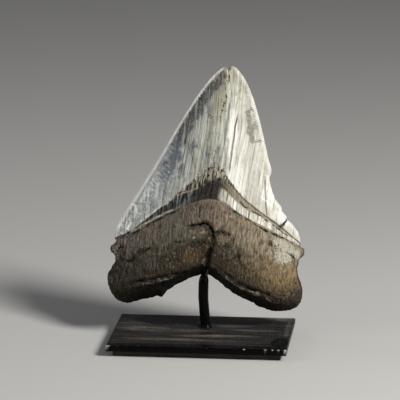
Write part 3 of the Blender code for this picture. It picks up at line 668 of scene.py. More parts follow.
class ToothSide:
    """One side of the tooth: where each grid place lies, its depth, and its colour masks."""

    def __init__(self, front, u, level):
        self.front = front
        self.rows, self.height, self.section, self.ledge, self.sign = FRONT_FORM if front else BACK_FORM
        self.u = u
        self.level = level
        self.s = from_crest(u)
        self.plan = plan_places(self.rows, u, level)
        self.warped = self.plan + 0.35 * wander(self.plan, 1.6, 3.0) + 0.5 * wander(self.plan, 5.0, 9.0)
        self.depth = np.zeros(len(u))
        self.masks = {}
        self.crest_x = np.interp(self.plan[:, 1], *zip(*CREST_LINE))
        self.find_edges()

    def row_height(self, level):
        """z of the row at a level, at each place's share across."""
        return plan_places(self.rows, self.u, np.full(len(self.u), float(level)))[:, 1]

    def find_edges(self):
        """Place along the nearer cutting edge, counted in serrations, and distance in from it."""
        self.along = np.zeros(len(self.u))
        self.inward = np.full(len(self.u), EDGE_BAND)
        crown = self.level <= 1.2
        for curve, here, first in ((LEFT_CURVES[0], crown & (self.u < 0.5), 0),
                                   (RIGHT_CURVES[0], crown & (self.u >= 0.5), 2 * SERRATIONS)):
            points = curve(np.linspace(0.0, 1.0, EDGE_POINTS))
            distance, length, total = line_distance(self.plan[here], points)
            self.along[here] = first + length / total * SERRATIONS
            self.inward[here] = np.minimum(distance, EDGE_BAND)

    def margin(self):
        """Height over the enamel's jagged lower end, which rises in flakes near the crest."""
        across = self.plan[:, 0] - self.crest_x
        middle = np.exp(-(self.s / 0.3) ** 2)
        flakes = np.array([noise.noise((x / 1.3, 0.0, 7.0)) for x in across])
        small = np.array([noise.noise((x / 0.6, 4.0, 2.0)) for x in across])
        if self.front:
            rise = 0.2 + middle * (1.7 + 2.2 * flakes + 1.4 * small) + 0.35 * flakes + 0.2 * small
        else:
            rise = 0.3 * flakes + 0.15 * small
        return self.plan[:, 1] - self.row_height(CROWN_END) - rise * smoothstep(1.0 - self.s, 0.0, 0.05)

    def serrate(self, serration_depth):
        """Swing the blunt cutting edges in and out, with a short groove inward from each notch."""
        share = self.along % (2 * SERRATIONS) / SERRATIONS
        notch = (0.5 + 0.5 * np.cos(2.0 * np.pi * self.along)) ** 1.5
        fade = smoothstep(share, 0.0, SERRATION_FADE) * smoothstep(1.0 - share, 0.0, SERRATION_FADE)
        wear = 0.8 + 0.6 * np.array([noise.noise((value * 0.26, 0.0, 5.0)) for value in self.along])
        worn_right = np.where(self.u > 0.5, 0.75 - 0.65 * smoothstep(share, 0.5, 0.66), 1.0)
        fade = np.clip(fade * wear * worn_right, 0.0, 1.0) * (self.inward < EDGE_BAND)
        swing = (SERRATION_RISE - serration_depth * notch) * fade * np.exp(-self.inward / 0.5)
        outward = np.where(self.u < 0.5, -1.0, 1.0)
        self.plan[:, 0] += 0.88 * outward * swing
        self.plan[:, 1] += 0.45 * swing
        rounded = (1.0 - np.exp(-self.inward / 0.35)) * np.exp(-(self.inward / 2.6) ** 2)
        self.depth += EDGE_BLUNTING * rounded * (self.inward < EDGE_BAND)
        grooves = notch * fade * np.exp(-self.inward / TICK_REACH) * smoothstep(self.inward, 0.0, 0.3)
        self.depth -= TICK_DEPTH * grooves
        self.masks["tick"] = fade
        self.masks["near_edge"] = 1.0 - smoothstep(self.inward, 0.3, 2.5)

    def mark(self, name, strength, cut):
        """Cut a mark into the depth, and show it in the mask of that name."""
        self.depth -= cut
        self.masks[name] = np.maximum(self.masks[name], strength)


def carve_lines(side, lines):
    """Cut cracks, with slightly raised edges."""
    for points, half_width, cut in lines:
        inside = ragged_line(side.warped, points, half_width)
        around = ragged_line(side.warped, points, 2.4 * half_width)
        side.mark("dark", inside, cut * inside - CRACK_RIM * cut * np.clip(around - inside, 0.0, 1.0))


def carve_pits(side, pits):
    for x, z, radius, cut in pits:
        distance = np.hypot(side.warped[:, 0] - x, side.warped[:, 1] - z) / radius
        dark = (1.0 - smoothstep(distance, 0.3, 1.0)) * min(1.0, 1.1 * cut / radius)
        side.mark("dark", dark, cut * (1.0 - smoothstep(distance, 0.2, 1.15)))


def shape_side(side):
    """Give a side its plain thickness, the step at the enamel's end, and its marks."""
    margin = side.margin()
    side.depth += side.height(side.level) * side.section(side.s, side.level)
    ledge = side.ledge * smoothstep(side.level, *LEDGE_LEVELS)
    enamel = smoothstep(margin, *ENAMEL_STEP)
    side.depth += ledge * enamel * (1.0 - side.s ** LEDGE_POWER) * (side.level < LEDGE_END)
    side.masks.update({name: np.zeros(len(side.u)) for name in ("dark", "pale", "score")}, margin=margin)
    carve_lines(side, FRONT_CRACKS + FRONT_GROOVES if side.front else BACK_CRACKS)
    carve_pits(side, FRONT_PITS if side.front else BACK_PITS)
    if side.front:
        mark_front(side)


def mark_front(side):
    """Scores, pale stains, lips, the ring, chips, facets painted pale as reflections, and the shoulder's
    layers.
    """
    plan = side.warped
    straight = side.plan + 0.2 * wander(side.plan, 5.0, 9.0)
    for points, half_width, darkness in FRONT_SCORES:
        distance, length, total = line_distance(straight, points)
        line = 1.0 - smoothstep(distance, 0.3 * half_width, 2.2 * half_width)
        side.mark("score", darkness * short_of_ends(length, total, 0.15) * line, 0.0)
    side.depth -= SCORE_DEPTH * side.masks["score"]
    side.mark("pale", tint(plan, PALE_AREAS), 0.0)
    for points, half_width, height in FRONT_LIPS:
        raised = ragged_line(plan, points, half_width)
        side.mark("pale", LIP_PALENESS * raised, -height * raised)
    x, z, radius, half_width, cut = RING_PIT
    from_ring = np.abs(np.hypot(plan[:, 0] - x, plan[:, 1] - z) - radius)
    ring = 1.0 - smoothstep(from_ring, 0.0, 1.4 * half_width)
    side.mark("dark", 0.8 * ring, cut * ring)
    for *area, cut in FRONT_CHIPS:
        chip = 1.0 - smoothstep(inside_area(side.plan, *area), 0.8, 1.05)
        side.mark("pale", chip, cut * chip)
    crooked = side.plan + 0.25 * wander(side.plan, 0.9, 4.0)
    # Painted reflection: each chipped facet is carved and painted pale
    for corners, cut in FRONT_FACETS:
        facet = smoothstep(inside_corners(crooked, corners), -0.2, 0.25)
        side.mark("pale", facet, cut * facet)
    shoulder = 1.0 - smoothstep(inside_area(plan, *SHOULDER_AREA), 0.5, 1.2)
    layers = np.abs(np.sin(1.9 * (plan[:, 0] + 0.55 * plan[:, 1])))
    side.mark("dark", LAYER_DARKNESS * shoulder * (1.0 - layers) ** 3, LAYER_DEPTH * shoulder * layers)


def colour_masks(side):
    """Masks that place the tooth's colours, from 0 to 1 apart from heights in millimetres."""
    plan = side.plan + 0.9 * wander(side.plan, 4.0, 21.0)
    x = plan[:, 0]
    z = plan[:, 1]
    # Lighter to the right: cream enamel past the bright line and tan on the root's right, partly the fossil's
    # own tone, partly painted light from the right
    past_line = side.plan[:, 0] - np.interp(side.plan[:, 1], *zip(*BRIGHT_LINE))
    crown_bright = smoothstep(past_line, -0.5, 0.6) * (0.75 + 0.25 * smoothstep(past_line, 0.6, 2.2))
    crown_bright *= 1.0 - 0.45 * smoothstep(z, 82.0, 94.0)
    root_light = smoothstep(x, -10.0, 28.0) * 0.75 + 0.25 * smoothstep(x, 22.0, 40.0)
    on_crown = side.masks["margin"] > 0.0
    side.masks["bright"] = np.where(on_crown | (side.level < 1.0), crown_bright, root_light)
    # The pale band at the neck's right is partly painted light, where it faces the light from the right
    start = 1.5 - 0.25 * smoothstep(x, 20.0, 30.0)
    band = smoothstep(side.level, start - 0.06, start + 0.06) * (1.0 - smoothstep(side.level, 1.93, 2.0))
    side.masks["band"] = band * smoothstep(x, 6.0, 11.0)
    side.masks["fray"] = np.exp(-((x - 3.5) / np.where(x > 3.5, 9.0, 13.0)) ** 2)
    side.masks["neckline"] = side.plan[:, 1] - side.row_height(NECK_END)
    side.masks["ridgeline"] = side.plan[:, 1] - side.row_height(RIDGE)
    if not side.front:
        plan = plan + BACK_TINT_SHIFT
    for name, areas in TINTS.items():
        side.masks[name] = tint(plan, areas)


# ---------------------------------------------------------------- meshes by operator

def only(*objects):
    """Leave just these objects selected, the first of them active."""
    bpy.ops.object.select_all(action="DESELECT")
    for obj in objects:
        obj.select_set(True)
    bpy.context.view_layer.objects.active = objects[0]


def edit_select(obj, mode, chosen):
    """Open a mesh for editing with the vertices, edges or faces selected that chosen() picks."""
    only(obj)
    bpy.ops.object.mode_set(mode="EDIT")
    bpy.ops.mesh.select_mode(type=mode)
    bpy.ops.mesh.select_all(action="DESELECT")
    bm = bmesh.from_edit_mesh(obj.data)
    for element in {"VERT": bm.verts, "EDGE": bm.edges, "FACE": bm.faces}[mode]:
        if chosen(element):
            element.select = True
    bm.select_flush_mode()
    bmesh.update_edit_mesh(obj.data)


def drop_fins(obj):
    """Delete the faces that hang from the rim by a free edge, which leaves the shell closed."""
    hanging = [True]
    while hanging:
        hanging = []

        def hangs(face):
            if any(len(edge.link_faces) == 1 for edge in face.edges):
                hanging.append(face.index)
                return True
            return False

        edit_select(obj, "FACE", hangs)
        if hanging:
            bpy.ops.mesh.delete(type="FACE")
            bpy.ops.mesh.select_all(action="SELECT")
            bpy.ops.mesh.delete_loose()
        bpy.ops.object.mode_set(mode="OBJECT")


def apply_modifier(obj, name, kind, **settings):
    only(obj)
    modifier = obj.modifiers.new(name, kind)
    for key, value in settings.items():
        setattr(modifier, key, value)
    bpy.ops.object.modifier_apply(modifier=name)


def row_to_level(row):
    rows = [0.0]
    levels = [0.0]
    for count, first, last in ROW_BANDS:
        rows.append(rows[-1] + count)
        levels.append(last)
    return np.interp(row, rows, levels)


def column_to_share(column):
    t = column / COLUMNS
    return t - EDGE_DENSITY * np.sin(2.0 * np.pi * t) / (2.0 * np.pi)


def flat_sheet(name, front):
    """A grid whose x is the column and y the row, with finer rows at the serrated edges."""
    bpy.ops.object.select_all(action="DESELECT")
    bpy.ops.mesh.primitive_grid_add(x_subdivisions=COLUMNS, y_subdivisions=ROW_COUNT, size=1.0)
    sheet = bpy.context.active_object
    sheet.name = name
    for vertex in sheet.data.vertices:
        vertex.co = ((vertex.co.x + 0.5) * COLUMNS, (0.5 - vertex.co.y) * ROW_COUNT, 0.0)

    def serrated(edge):
        first, second = (vertex.co for vertex in edge.verts)
        if abs(first.x - second.x) > 0.5 or max(first.y, second.y) > SERRATIONS + 0.5:
            return False
        return edge_reach(first.x, 0.5 * (first.y + second.y)) < SERRATED_REACH

    edit_select(sheet, "EDGE", serrated)
    bpy.ops.mesh.subdivide(number_cuts=3, ngon=False)
    bpy.ops.object.mode_set(mode="OBJECT")
    if front:
        edit_select(sheet, "FACE", needs_detail)
        bpy.ops.mesh.subdivide(number_cuts=1, ngon=False)
        bpy.ops.object.mode_set(mode="OBJECT")
    return sheet


def edge_reach(column, row):
    """How far in from the outline a place on the flat sheet will lie, roughly."""
    share = column_to_share(column)
    return min(share, 1.0 - share) * np.interp(row_to_level(row), *ROW_WIDTHS)


def needs_detail(face):
    """Whether a face of the flat front sheet lies where the surface has fine relief."""
    centre = face.calc_center_median()
    level = row_to_level(centre.y)
    share = column_to_share(centre.x)
    if not 1.0 < centre.x < COLUMNS - 1.0:
        return False
    if level < 1.05 and edge_reach(centre.x, centre.y) < SERRATED_REACH + 0.8:
        return False
    tip = FINE_TIP_LEVELS[0] < level < FINE_TIP_LEVELS[1]
    if tip and FINE_TIP_PLACES[0] < share < FINE_TIP_PLACES[1]:
        return True
    return FINE_LEVELS[0] < level < FINE_LEVELS[1]


def vertex_array(mesh):
    places = np.zeros(len(mesh.vertices) * 3)
    mesh.vertices.foreach_get("co", places)
    return places.reshape(-1, 3)


def write_mask(mesh, name, values):
    attribute = mesh.attributes.get(name) or mesh.attributes.new(name, "FLOAT", "POINT")
    attribute.data.foreach_set("value", np.asarray(values, np.float32))


def write_map(mesh, name, places):
    """Make a UV map that gives every corner its vertex's place."""
    layer = mesh.uv_layers.get(name) or mesh.uv_layers.new(name=name)
    corners = np.zeros(len(mesh.loops), np.int64)
    mesh.loops.foreach_get("vertex_index", corners)
    layer.data.foreach_set("uv", np.asarray(places, np.float32)[corners].ravel())


def make_side(name, front, serration_depth):
    sheet = flat_sheet(name, front)
    mesh = sheet.data
    places = vertex_array(mesh)
    side = ToothSide(front, column_to_share(places[:, 0]), row_to_level(places[:, 1]))
    shape_side(side)
    colour_masks(side)
    side.serrate(serration_depth)
    last = places[:, 1] > ROW_COUNT - 0.5
    rim = (side.u < 1e-6) | (side.u > 1.0 - 1e-6) | (places[:, 1] < 0.5) | last
    depth = np.where(rim, 0.0, np.maximum(side.depth, 0.02))
    world = to_world(side.plan[:, 0], side.sign * depth, side.plan[:, 1])
    mesh.vertices.foreach_set("co", world.ravel())
    across = side.plan[:, 0] - side.crest_x
    write_map(mesh, "UVMap", np.stack([side.u, 1.0 - side.level / BASE], axis=1))
    write_map(mesh, "grain", np.stack([across, side.plan[:, 1]], axis=1))
    write_map(mesh, "edge", np.stack([side.along, side.inward], axis=1))
    write_mask(mesh, "level", side.level)
    for mask, values in side.masks.items():
        write_mask(mesh, mask, values)
    return sheet


def write_hollow(mesh):
    """Store how far each vertex lies below its neighbours, in tenths of a millimetre."""
    places = vertex_array(mesh)
    normals = np.zeros(len(mesh.vertices) * 3)
    mesh.vertex_normals.foreach_get("vector", normals)
    normals = normals.reshape(-1, 3)
    edges = np.zeros(len(mesh.edges) * 2, np.int64)
    mesh.edges.foreach_get("vertices", edges)
    first, second = edges.reshape(-1, 2).T
    count = np.bincount(np.concatenate([first, second]), minlength=len(places))[:, None]

    def neighbour_mean(values):
        total = np.zeros_like(values)
        np.add.at(total, first, values[second])
        np.add.at(total, second, values[first])
        return total / count

    sunk = ((neighbour_mean(places) - places) * normals).sum(axis=1, keepdims=True)
    for _ in range(2):
        sunk = 0.5 * sunk + 0.5 * neighbour_mean(sunk)
    write_mask(mesh, "hollow", np.clip(sunk[:, 0] / (0.1 * MM), -1.0, 1.0))


def press_clouds(obj, name, size, strength, mid_level, basis="BLENDER_ORIGINAL", **settings):
    """Displace a mesh by a cloudy texture of that size, in the texture's own units."""
    texture = bpy.data.textures.new(name, "CLOUDS")
    texture.noise_scale = size
    texture.noise_depth = 2
    texture.noise_basis = basis
    apply_modifier(obj, name, "DISPLACE", texture=texture, strength=strength * MM, mid_level=mid_level,
                   **settings)
    bpy.data.textures.remove(texture)


def vertex_group(obj, name, weights):
    group = obj.vertex_groups.new(name=name)
    steps = np.round(np.clip(weights, 0.0, 1.0) * 20.0) / 20.0
    for step in np.unique(steps[steps > 0.0]):
        group.add(np.nonzero(steps == step)[0].tolist(), float(step), "REPLACE")
    return group


def mask_values(mesh, name):
    values = np.zeros(len(mesh.vertices), np.float32)
    mesh.attributes[name].data.foreach_get("value", values)
    return values


def roughen_tooth(tooth, root_relief):
    """Press the natural relief of root, neck and enamel into the mesh."""
    mesh = tooth.data
    level = mask_values(mesh, "level")
    margin = mask_values(mesh, "margin")
    root = smoothstep(level, 2.0, 2.12)
    lower = smoothstep(level, 2.35, 2.75)
    vertex_group(tooth, "enamel", smoothstep(margin, -0.2, 0.3) * (1.0 - mask_values(mesh, "near_edge")))
    vertex_group(tooth, "root", root)
    vertex_group(tooth, "lower_root", lower)
    vertex_group(tooth, "neck", (1.0 - smoothstep(margin, -0.4, 0.0)) * (1.0 - smoothstep(level, 1.85, 2.0)))
    vertex_group(tooth, "upper_root", root * (1.0 - 0.7 * lower))
    grain = mesh.uv_layers["grain"]
    places = np.zeros(len(grain.data) * 2, np.float32)
    grain.data.foreach_get("uv", places)
    fibre = mesh.uv_layers.new(name="fibre")
    fibre.data.foreach_set("uv", (places.reshape(-1, 2) * (1.0, FIBRE_STRETCH)).astype(np.float32).ravel())
    for name, group, size, strength, basis, along_fibres in RELIEFS:
        if group != "enamel":
            strength *= root_relief
        if along_fibres:
            coords = {"texture_coords": "UV", "uv_layer": "fibre"}
            size *= UV_SCALE
        else:
            coords = {"texture_coords": "LOCAL"}
            size *= MM
        press_clouds(tooth, name, size, strength, RELIEF_MID, basis, vertex_group=group, **coords)
    tooth.vertex_groups.clear()
    mesh.uv_layers.remove(mesh.uv_layers["fibre"])


def keep_inside(mesh, low, high):
    """Hold every vertex inside a box."""
    places = np.clip(vertex_array(mesh), np.array(low), np.array(high))
    mesh.vertices.foreach_set("co", places.ravel())
    mesh.update()


# ---------------------------------------------------------------- shader building

class NodeSheet:
    """Adds nodes to one tree, each with its inputs set or linked by name."""

    def __init__(self, tree):
        self.tree = tree

    def feed(self, socket, value):
        if isinstance(value, bpy.types.NodeSocket):
            self.tree.links.new(value, socket)
        else:
            socket.default_value = value

    def add(self, kind, inputs=None, **settings):
        node = self.tree.nodes.new(kind)
        for key, value in settings.items():
            setattr(node, key, value)
        for key, value in (inputs or {}).items():
            self.feed(node.inputs[key], value)
        return node

    def math(self, operation, first, second=0.0, clamp=False):
        inputs = {0: first, 1: second}
        return self.add("ShaderNodeMath", inputs, operation=operation, use_clamp=clamp).outputs[0]

    def times(self, first, *others):
        for other in others:
            first = self.math("MULTIPLY", first, other)
        return first

    def plus(self, first, *others):
        for other in others:
            first = self.math("ADD", first, other)
        return first

    def rest(self, value):
        """What a share leaves of one."""
        return self.math("SUBTRACT", 1.0, value)

    def ramp(self, value, low, high, to_low=0.0, to_high=1.0):
        """value rescaled from low..high, smoothly and clamped."""
        inputs = {"Value": value, "From Min": low, "From Max": high, "To Min": to_low, "To Max": to_high}
        return self.add("ShaderNodeMapRange", inputs, interpolation_type="SMOOTHSTEP").outputs["Result"]

    def mix(self, share, first, second):
        """Colours mixed by a share of the second."""
        first, second = (value if isinstance(value, bpy.types.NodeSocket) else rgba(value)
                         for value in (first, second))
        inputs = {"Factor": share, 6: first, 7: second}
        return self.add("ShaderNodeMix", inputs, data_type="RGBA").outputs[2]

    def coats(self, colour, *coats):
        """Lay coats over a colour, each as (mask, strength, tone)."""
        for mask, strength, tone in coats:
            colour = self.mix(self.times(mask, strength), colour, tone)
        return colour

    def mask(self, name):
        return self.add("ShaderNodeAttribute", attribute_name=name).outputs["Fac"]

    def uv(self, name):
        return self.add("ShaderNodeUVMap", uv_map=name).outputs["UV"]

    def parts(self, vector):
        return self.add("ShaderNodeSeparateXYZ", {"Vector": vector}).outputs

    def join(self, **parts):
        return self.add("ShaderNodeCombineXYZ", parts).outputs[0]

    def chance(self, value):
        """A random value from 0 to 1 for each whole number."""
        whole = self.math("FLOOR", value)
        return self.add("ShaderNodeTexWhiteNoise", {"W": whole}, noise_dimensions="1D").outputs["Value"]

    def group(self, name, **inputs):
        node = self.add("ShaderNodeGroup", node_tree=group_tree(name))
        for key, value in inputs.items():
            self.feed(node.inputs[key.capitalize()], value)
        return node.outputs[0]

    def streak(self, vector, width, length, seed, low, high):
        """Streaks in millimetres, whose mask starts at low and is full at high."""
        return self.group("Streaks", vector=vector, width=width, length=length, seed=seed, low=low, high=high)

    def mottle(self, vector, size, seed, low, high):
        """Patches in millimetres, whose mask starts at low and is full at high."""
        return self.group("Mottle", vector=vector, size=size, seed=seed, low=low, high=high)

    def broken(self, name, clouds, amount, softness):
        """The tooth's mask of that name, broken up by clouds."""
        mask = self.mask(name)
        return self.group("Broken mask", mask=mask, clouds=clouds, amount=amount, softness=softness)


def streak_nodes(sheet, start):
    """Long thin streaks along the second coordinate of a map in millimetres."""
    parts = sheet.parts(start["Vector"])
    across = sheet.math("DIVIDE", parts["X"], start["Width"])
    along = sheet.math("DIVIDE", parts["Y"], start["Length"])
    place = sheet.join(X=across, Y=along, Z=start["Seed"])
    cloud = sheet.add("ShaderNodeTexNoise", {"Vector": place, "Scale": 1.0, "Detail": 3.0,
                                             "Roughness": 0.55, "Distortion": 0.25})
    return sheet.ramp(cloud.outputs["Fac"], start["Low"], start["High"])


def mottle_nodes(sheet, start):
    """Cloudy patches of a given size."""
    offset = sheet.join(X=start["Seed"], Z=start["Seed"])
    place = sheet.add("ShaderNodeVectorMath", {0: start["Vector"], 1: offset}, operation="ADD").outputs[0]
    scale = sheet.math("DIVIDE", 1.0, start["Size"])
    inputs = {"Vector": place, "Scale": scale, "Detail": 4.0, "Roughness": 0.6}
    cloud = sheet.add("ShaderNodeTexNoise", inputs)
    return sheet.ramp(cloud.outputs["Fac"], start["Low"], start["High"])


def broken_nodes(sheet, start):
    """A soft mask broken up at its rim by clouds."""
    swing = sheet.times(sheet.math("SUBTRACT", start["Clouds"], 0.5), start["Amount"])
    low = sheet.math("SUBTRACT", 0.5, start["Softness"])
    high = sheet.plus(0.5, start["Softness"])
    return sheet.ramp(sheet.plus(start["Mask"], swing), low, high)


def dust_nodes(sheet, start):
    """Dust on black paint: brushed streaks along x, with grains, thicker where the mask says."""
    parts = sheet.parts(start["Vector"])
    turned = sheet.join(X=parts["Y"], Y=parts["X"], Z=parts["Z"])
    brushed = sheet.streak(turned, 1.3, 26.0, start["Seed"], 0.35, 0.68)
    grains = sheet.mottle(start["Vector"], 0.8, start["Seed"], 0.46, 0.68)
    most = sheet.plus(start["Base"], start["Mask"])
    thick = sheet.plus(sheet.times(brushed, 0.8), sheet.times(grains, 0.8))
    return sheet.math("MULTIPLY", most, thick, clamp=True)


# Node groups: what fills each, its output, and its inputs with their defaults
GROUPS = {
    "Streaks": (streak_nodes, "Mask",
                {"Vector": None, "Width": 1.0, "Length": 10.0, "Seed": 0.0, "Low": 0.4, "High": 0.6}),
    "Mottle": (mottle_nodes, "Mask", {"Vector": None, "Size": 1.0, "Seed": 0.0, "Low": 0.4, "High": 0.6}),
    "Broken mask": (broken_nodes, "Mask", {"Mask": 0.0, "Clouds": 0.5, "Amount": 0.5, "Softness": 0.2}),
    "Dust": (dust_nodes, "Dust", {"Vector": None, "Mask": 0.0, "Base": 0.1, "Seed": 0.0}),
}


def group_tree(name):
    """The node group of that name, made when it is first asked for."""
    if name in bpy.data.node_groups:
        return bpy.data.node_groups[name]
    fill, output, inputs = GROUPS[name]
    tree = bpy.data.node_groups.new(name, "ShaderNodeTree")
    for socket_name, default in inputs.items():
        kind = "NodeSocketVector" if default is None else "NodeSocketFloat"
        socket = tree.interface.new_socket(name=socket_name, in_out="INPUT", socket_type=kind)
        if default is not None:
            socket.default_value = default
    tree.interface.new_socket(name=output, in_out="OUTPUT", socket_type="NodeSocketFloat")
    sheet = NodeSheet(tree)
    start = sheet.add("NodeGroupInput").outputs
    end = sheet.add("NodeGroupOutput").inputs[0]
    sheet.feed(end, fill(sheet, start))
    return tree


def rgba(colour):
    return (*colour, 1.0)


def new_material(name):
    material = bpy.data.materials.new(name)
    material.use_nodes = True
    return material, NodeSheet(material.node_tree), material.node_tree.nodes["Principled BSDF"]


def object_millimetres(sheet):
    place = sheet.add("ShaderNodeTexCoord").outputs["Object"]
    scale = (1.0 / MM, 1.0 / MM, 1.0 / MM)
    return sheet.add("ShaderNodeVectorMath", {0: place, 1: scale}, operation="MULTIPLY").outputs[0]


def enamel_colour(sheet, settings, grain, body):
    """Enamel: streaked slate and khaki left of the crest, cream right of it, feathered at its edges, with
    painted glints and painted shadow flecks.
    """
    height_up = sheet.parts(grain)["Y"]
    feather = sheet.mask("feather")
    wide = sheet.streak(grain, 3.4, 46.0, 1.0, 0.32, 0.68)
    middle = sheet.streak(grain, 1.7, 34.0, 6.0, 0.36, 0.64)
    fine = sheet.streak(grain, 1.0, 20.0, 2.0, 0.44, 0.6)
    thin_dark = sheet.streak(grain, 0.8, 30.0, 3.0, 0.56, 0.68)
    hair = sheet.streak(grain, 0.5, 44.0, 10.0, 0.59, 0.66)
    smoke = sheet.mottle(body, 6.5, 7.0, 0.4, 0.66)
    clouds = sheet.mottle(body, 3.0, 4.0, 0.22, 0.78)
    speckle = sheet.mottle(body, 1.0, 5.0, 0.4, 0.62)
    glint_flecks = sheet.mottle(body, 1.1, 8.0, 0.56, 0.64)
    shadow_flecks = sheet.mottle(body, 1.5, 9.0, 0.5, 0.58)
    khaki = sheet.broken("khaki", middle, 0.7, 0.5)
    khaki_tone = sheet.mix(wide, (0.33, 0.335, 0.25), settings.khaki)
    olive = sheet.broken("olive", clouds, 0.7, 0.5)
    olive_tone = sheet.mix(fine, settings.olive, (0.5, 0.46, 0.31))
    olive_tone = sheet.coats(olive_tone, (speckle, 0.3, (0.15, 0.13, 0.085)))
    torn = sheet.plus(sheet.times(clouds, 0.6), sheet.times(middle, 0.4))
    blue = sheet.broken("blue", torn, 1.2, 0.45)
    low_tone = sheet.mix(speckle, settings.blue, (0.05, 0.055, 0.065))
    high_tone = sheet.mix(speckle, (0.085, 0.08, 0.063), (0.024, 0.023, 0.019))
    blue_tone = sheet.mix(sheet.ramp(height_up, 60.0, 76.0), low_tone, high_tone)
    left = sheet.coats(
        sheet.mix(wide, settings.slate, settings.slate_light),
        (speckle, 0.3, (0.1, 0.105, 0.095)),
        (smoke, 0.5, (0.105, 0.125, 0.12)),
        (khaki, 0.9, khaki_tone),
        (middle, 0.45, (0.5, 0.515, 0.44)),
        (fine, 0.6, (0.68, 0.69, 0.61)),
        (olive, 0.85, olive_tone),
        (blue, 1.0, blue_tone),
        # Painted shadow flecks and painted glints, mostly in the feathered parts
        (shadow_flecks, sheet.ramp(feather, 0.1, 0.8, 0.0, 0.6), (0.12, 0.14, 0.155)),
        (glint_flecks, sheet.ramp(feather, 0.1, 0.8, 0.07, 0.95), (0.76, 0.82, 0.86)),
        (thin_dark, sheet.ramp(feather, 0.0, 0.8, 0.8, 0.25), (0.075, 0.072, 0.055)),
    )
    right = sheet.coats(
        sheet.mix(wide, settings.cream, (0.7, 0.675, 0.57)),
        (fine, 0.3, settings.white),
        (smoke, 0.4, (0.52, 0.505, 0.43)),
        (olive, 0.65, olive_tone),
        (thin_dark, sheet.ramp(height_up, 48.0, 66.0, 0.55, 0.2), (0.33, 0.31, 0.25)),
    )
    grey_tone = sheet.mix(speckle, (0.3, 0.29, 0.25), (0.17, 0.16, 0.135))
    colour = sheet.coats(
        left,
        # The cream right of the bright line is partly painted light from the right
        (sheet.broken("bright", fine, 0.3, 0.4), 1.0, right),
        (sheet.broken("white", middle, 0.7, 0.5), 1.0, settings.white),
        (sheet.broken("grey", clouds, 0.8, 0.4), 0.9, grey_tone),
        (hair, sheet.ramp(feather, 0.0, 0.8, 0.62, 0.15), (0.1, 0.093, 0.07)),
        (sheet.mask("score"), 1.0, (0.06, 0.055, 0.045)),
    )
    colour, ticks = edge_colour(sheet, colour)
    return colour, sheet.plus(sheet.times(fine, 0.3), sheet.times(thin_dark, -0.6), ticks)


def edge_colour(sheet, colour):
    """Painted highlights on the serrations' peaks and painted shade in their notches, running in from each
    serration, with a painted highlight along the rim and feathered strokes, on coordinates along and in from
    the edges.
    """
    edge = sheet.uv("edge")
    along, from_edge = sheet.parts(edge)[:2]
    peak = sheet.ramp(sheet.math("COSINE", sheet.times(along, 2.0 * math.pi)), 0.35, -0.35)
    single = sheet.chance(along)
    pair = sheet.chance(sheet.times(along, 0.4))
    left = sheet.math("LESS_THAN", along, 1.5 * SERRATIONS)
    low = sheet.ramp(along, 0.2 * SERRATIONS, 0.8 * SERRATIONS, 0.62, 1.0)
    low = sheet.math("MAXIMUM", low, sheet.rest(left))
    worn = sheet.ramp(sheet.mask("tick"), 0.0, 0.7)
    inward = sheet.math("DIVIDE", from_edge, low)
    reach = sheet.plus(1.8, sheet.times(single, 1.3))
    # Painted highlight on each serration's peak, fading inward
    light = sheet.times(
        sheet.ramp(sheet.math("DIVIDE", inward, reach), 0.55, 1.0, 1.0, 0.0), peak,
        sheet.ramp(pair, 0.0, 1.0, 0.45, 1.0), sheet.ramp(left, 0.0, 1.0, 0.5, 1.0), worn)
    reach = sheet.plus(reach, pair)
    # Painted shade in each notch between the serrations
    dark = sheet.times(
        sheet.ramp(sheet.math("DIVIDE", inward, reach), 0.7, 1.1, 1.0, 0.0), sheet.rest(peak),
        sheet.ramp(inward, 0.9, 2.0, 0.22, 0.9), worn, sheet.ramp(left, 0.0, 1.0, 0.35, 1.0))
    stroke = sheet.streak(edge, 0.9, 5.0, 41.0, 0.42, 0.6)
    feather = sheet.times(stroke, sheet.mask("feather"), sheet.ramp(from_edge, 2.5, EDGE_BAND, 1.0, 0.35))
    # Painted highlight along the rim of the cutting edge
    rim = sheet.times(sheet.ramp(inward, 0.9, 2.1, 0.9, 0.0), sheet.ramp(pair, 0.0, 1.0, 0.6, 1.0),
                      sheet.ramp(left, 0.0, 1.0, 0.3, 1.0))
    colour = sheet.coats(
        colour,
        (feather, 0.8, (0.6, 0.64, 0.66)),
        (rim, 1.0, (0.97, 0.96, 0.92)),
        (dark, 1.0, (0.05, 0.05, 0.046)),
        (light, 1.0, (0.95, 0.94, 0.89)),
    )
    return colour, sheet.times(light, 0.6)


